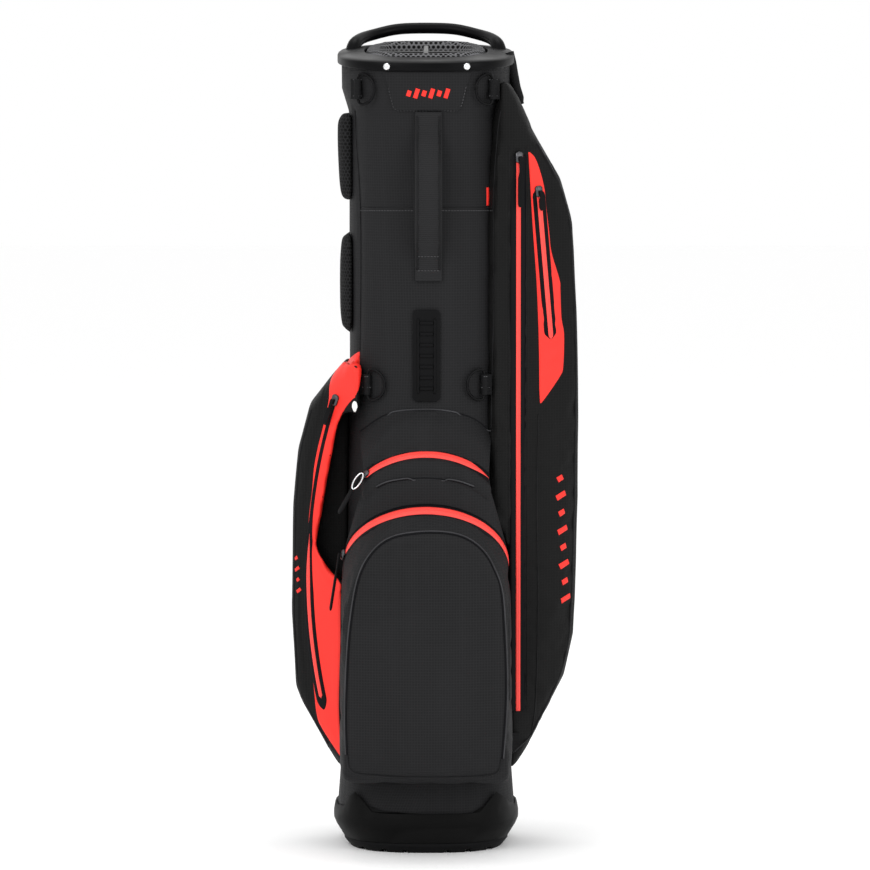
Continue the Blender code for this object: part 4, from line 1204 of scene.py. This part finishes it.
def lay_lift_handle():
    """The moulded carrying arch, round in section and swelling into its roots on the collar."""
    points = coordinates(NODES["lift_handle"].data)
    turns = np.arctan2(points[:, 1], points[:, 0])
    steps = np.linspace(turns.min(), turns.max(), 25)
    centres = []
    for start, end in zip(steps, steps[1:]):
        ring = points[(turns >= start - 0.06) & (turns <= end + 0.06)]
        if len(ring):
            centres.append(Vector(((ring.min(0) + ring.max(0)) / 2).tolist()))
    places, _ = soften(centres, [Vector((0, 0, 1))] * len(centres), 3)
    first, last = places[0], places[-1]
    inward = 0.002 if first.x > 0 else -0.002
    root = first + Vector((inward, -0.004, -0.012))
    other_root = last + Vector((-inward, -0.004, -0.012))
    places = [root] + places + [other_root]
    fine = evenly(places, 0.003)
    path = soften(fine, [Vector((0, 0, 1))] * len(fine), 4)
    grip = lay_strip("lift_handle_grip", path, disc(0.0062, 20, 0.95), "plastic",
                     lambda share: 1.0 + 0.35 * abs(2 * share - 1) ** 6)
    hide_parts("lift_handle")


lay_lift_handle()


def strap_taper(share):
    """Narrower downwards, with a rounded end."""
    return (1.0 - 0.35 * share) * math.sqrt(min(1.0, (1 - share) / 0.12 + 0.02))


def lay_umbrella_strap():
    """The padded loop beside the collar that holds an umbrella's handle."""
    low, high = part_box("umbrella_tab")
    depth = (low.y + high.y) / 2
    spots = (
        (0.0855, 0.837), (0.0885, 0.827), (0.0915, 0.813), (0.0945, 0.800),
        (0.0985, 0.789), (0.1010, 0.783),
    )
    path = evenly([Vector((x, depth, z)) for x, z in spots], 0.002)
    normals = [Vector((0.9, 0.0, 0.45)).normalized()] * len(path)
    profile = disc(0.0105, 12, 0.66)
    strap = lay_strip("umbrella_strap", (path, normals), profile, "webbing", strap_taper)
    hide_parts("umbrella_tab")


lay_umbrella_strap()


def lay_bail():
    """The bright wire loop that joins the upper zip's slider to its cord."""
    low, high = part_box("zip_pull_upper")
    start = Vector((high.x - 0.001, low.y - 0.001, high.z - 0.001))
    way = (Vector((low.x, low.y, low.z)) - Vector((high.x, low.y, high.z))).normalized()
    side = Vector((-way.z, 0, way.x))
    half_long, half_wide = 0.0095, 0.0034
    loop = []
    for part in range(25):
        turn = 2 * math.pi * part / 24
        along = way * (half_long - half_long * math.cos(turn))
        loop.append(start + along + side * half_wide * math.sin(turn))
    normals = [Vector((0, -1, 0))] * len(loop)
    lay_strip("upper_zip_bail", (loop, normals), disc(0.0008), "chrome", body="zip_pull_upper")


lay_bail()


# ---------------------------------------------------------------- studio


def add_floor():
    """A wide, even floor."""
    mesh = bpy.data.meshes.new("studio_floor")
    reach = 14.0
    corners = [(-reach, -reach, 0), (reach, -reach, 0), (reach, reach, 0), (-reach, reach, 0)]
    mesh.from_pydata(corners, [], [(0, 1, 2, 3)])
    mesh.materials.append(M["floor"])
    floor = link(bpy.data.objects.new("studio_floor", mesh))


def aim(obj, place):
    """Puts a lamp or the camera in its place, looking at the middle of the bag."""
    obj.location = place
    obj.rotation_mode = "QUATERNION"
    obj.rotation_quaternion = (LOOK_AT - place).to_track_quat("-Z", "Y")


def add_light(name, place, size, power):
    """A square lamp that looks at the middle of the bag."""
    data = bpy.data.lights.new(name, "AREA")
    data.energy = power
    data.size = size
    aim(link(bpy.data.objects.new(name, data)), Vector(place))


def add_world():
    """White light from all round."""
    world = bpy.data.worlds.new("studio")
    world.use_nodes = True
    background = world.node_tree.nodes["Background"]
    background.inputs["Color"].default_value = (1.0, 1.0, 1.0, 1.0)
    background.inputs["Strength"].default_value = 1.0
    bpy.context.scene.world = world


def add_camera():
    data = bpy.data.cameras.new("camera")
    data.lens = LENS
    data.sensor_width = SENSOR
    data.clip_start = 0.1
    data.clip_end = 100.0
    camera = link(bpy.data.objects.new("camera", data))
    aim(camera, camera_place())
    bpy.context.scene.camera = camera


add_floor()
add_world()
add_light("key", (-1.6, -2.6, 2.2), size=1.8, power=34)
add_light("fill", (2.2, -2.2, 1.4), size=1.8, power=20)
add_light("top", (0.0, 0.3, 2.8), size=1.2, power=14)
add_camera()
bpy.context.scene.view_settings.view_transform = "Standard"
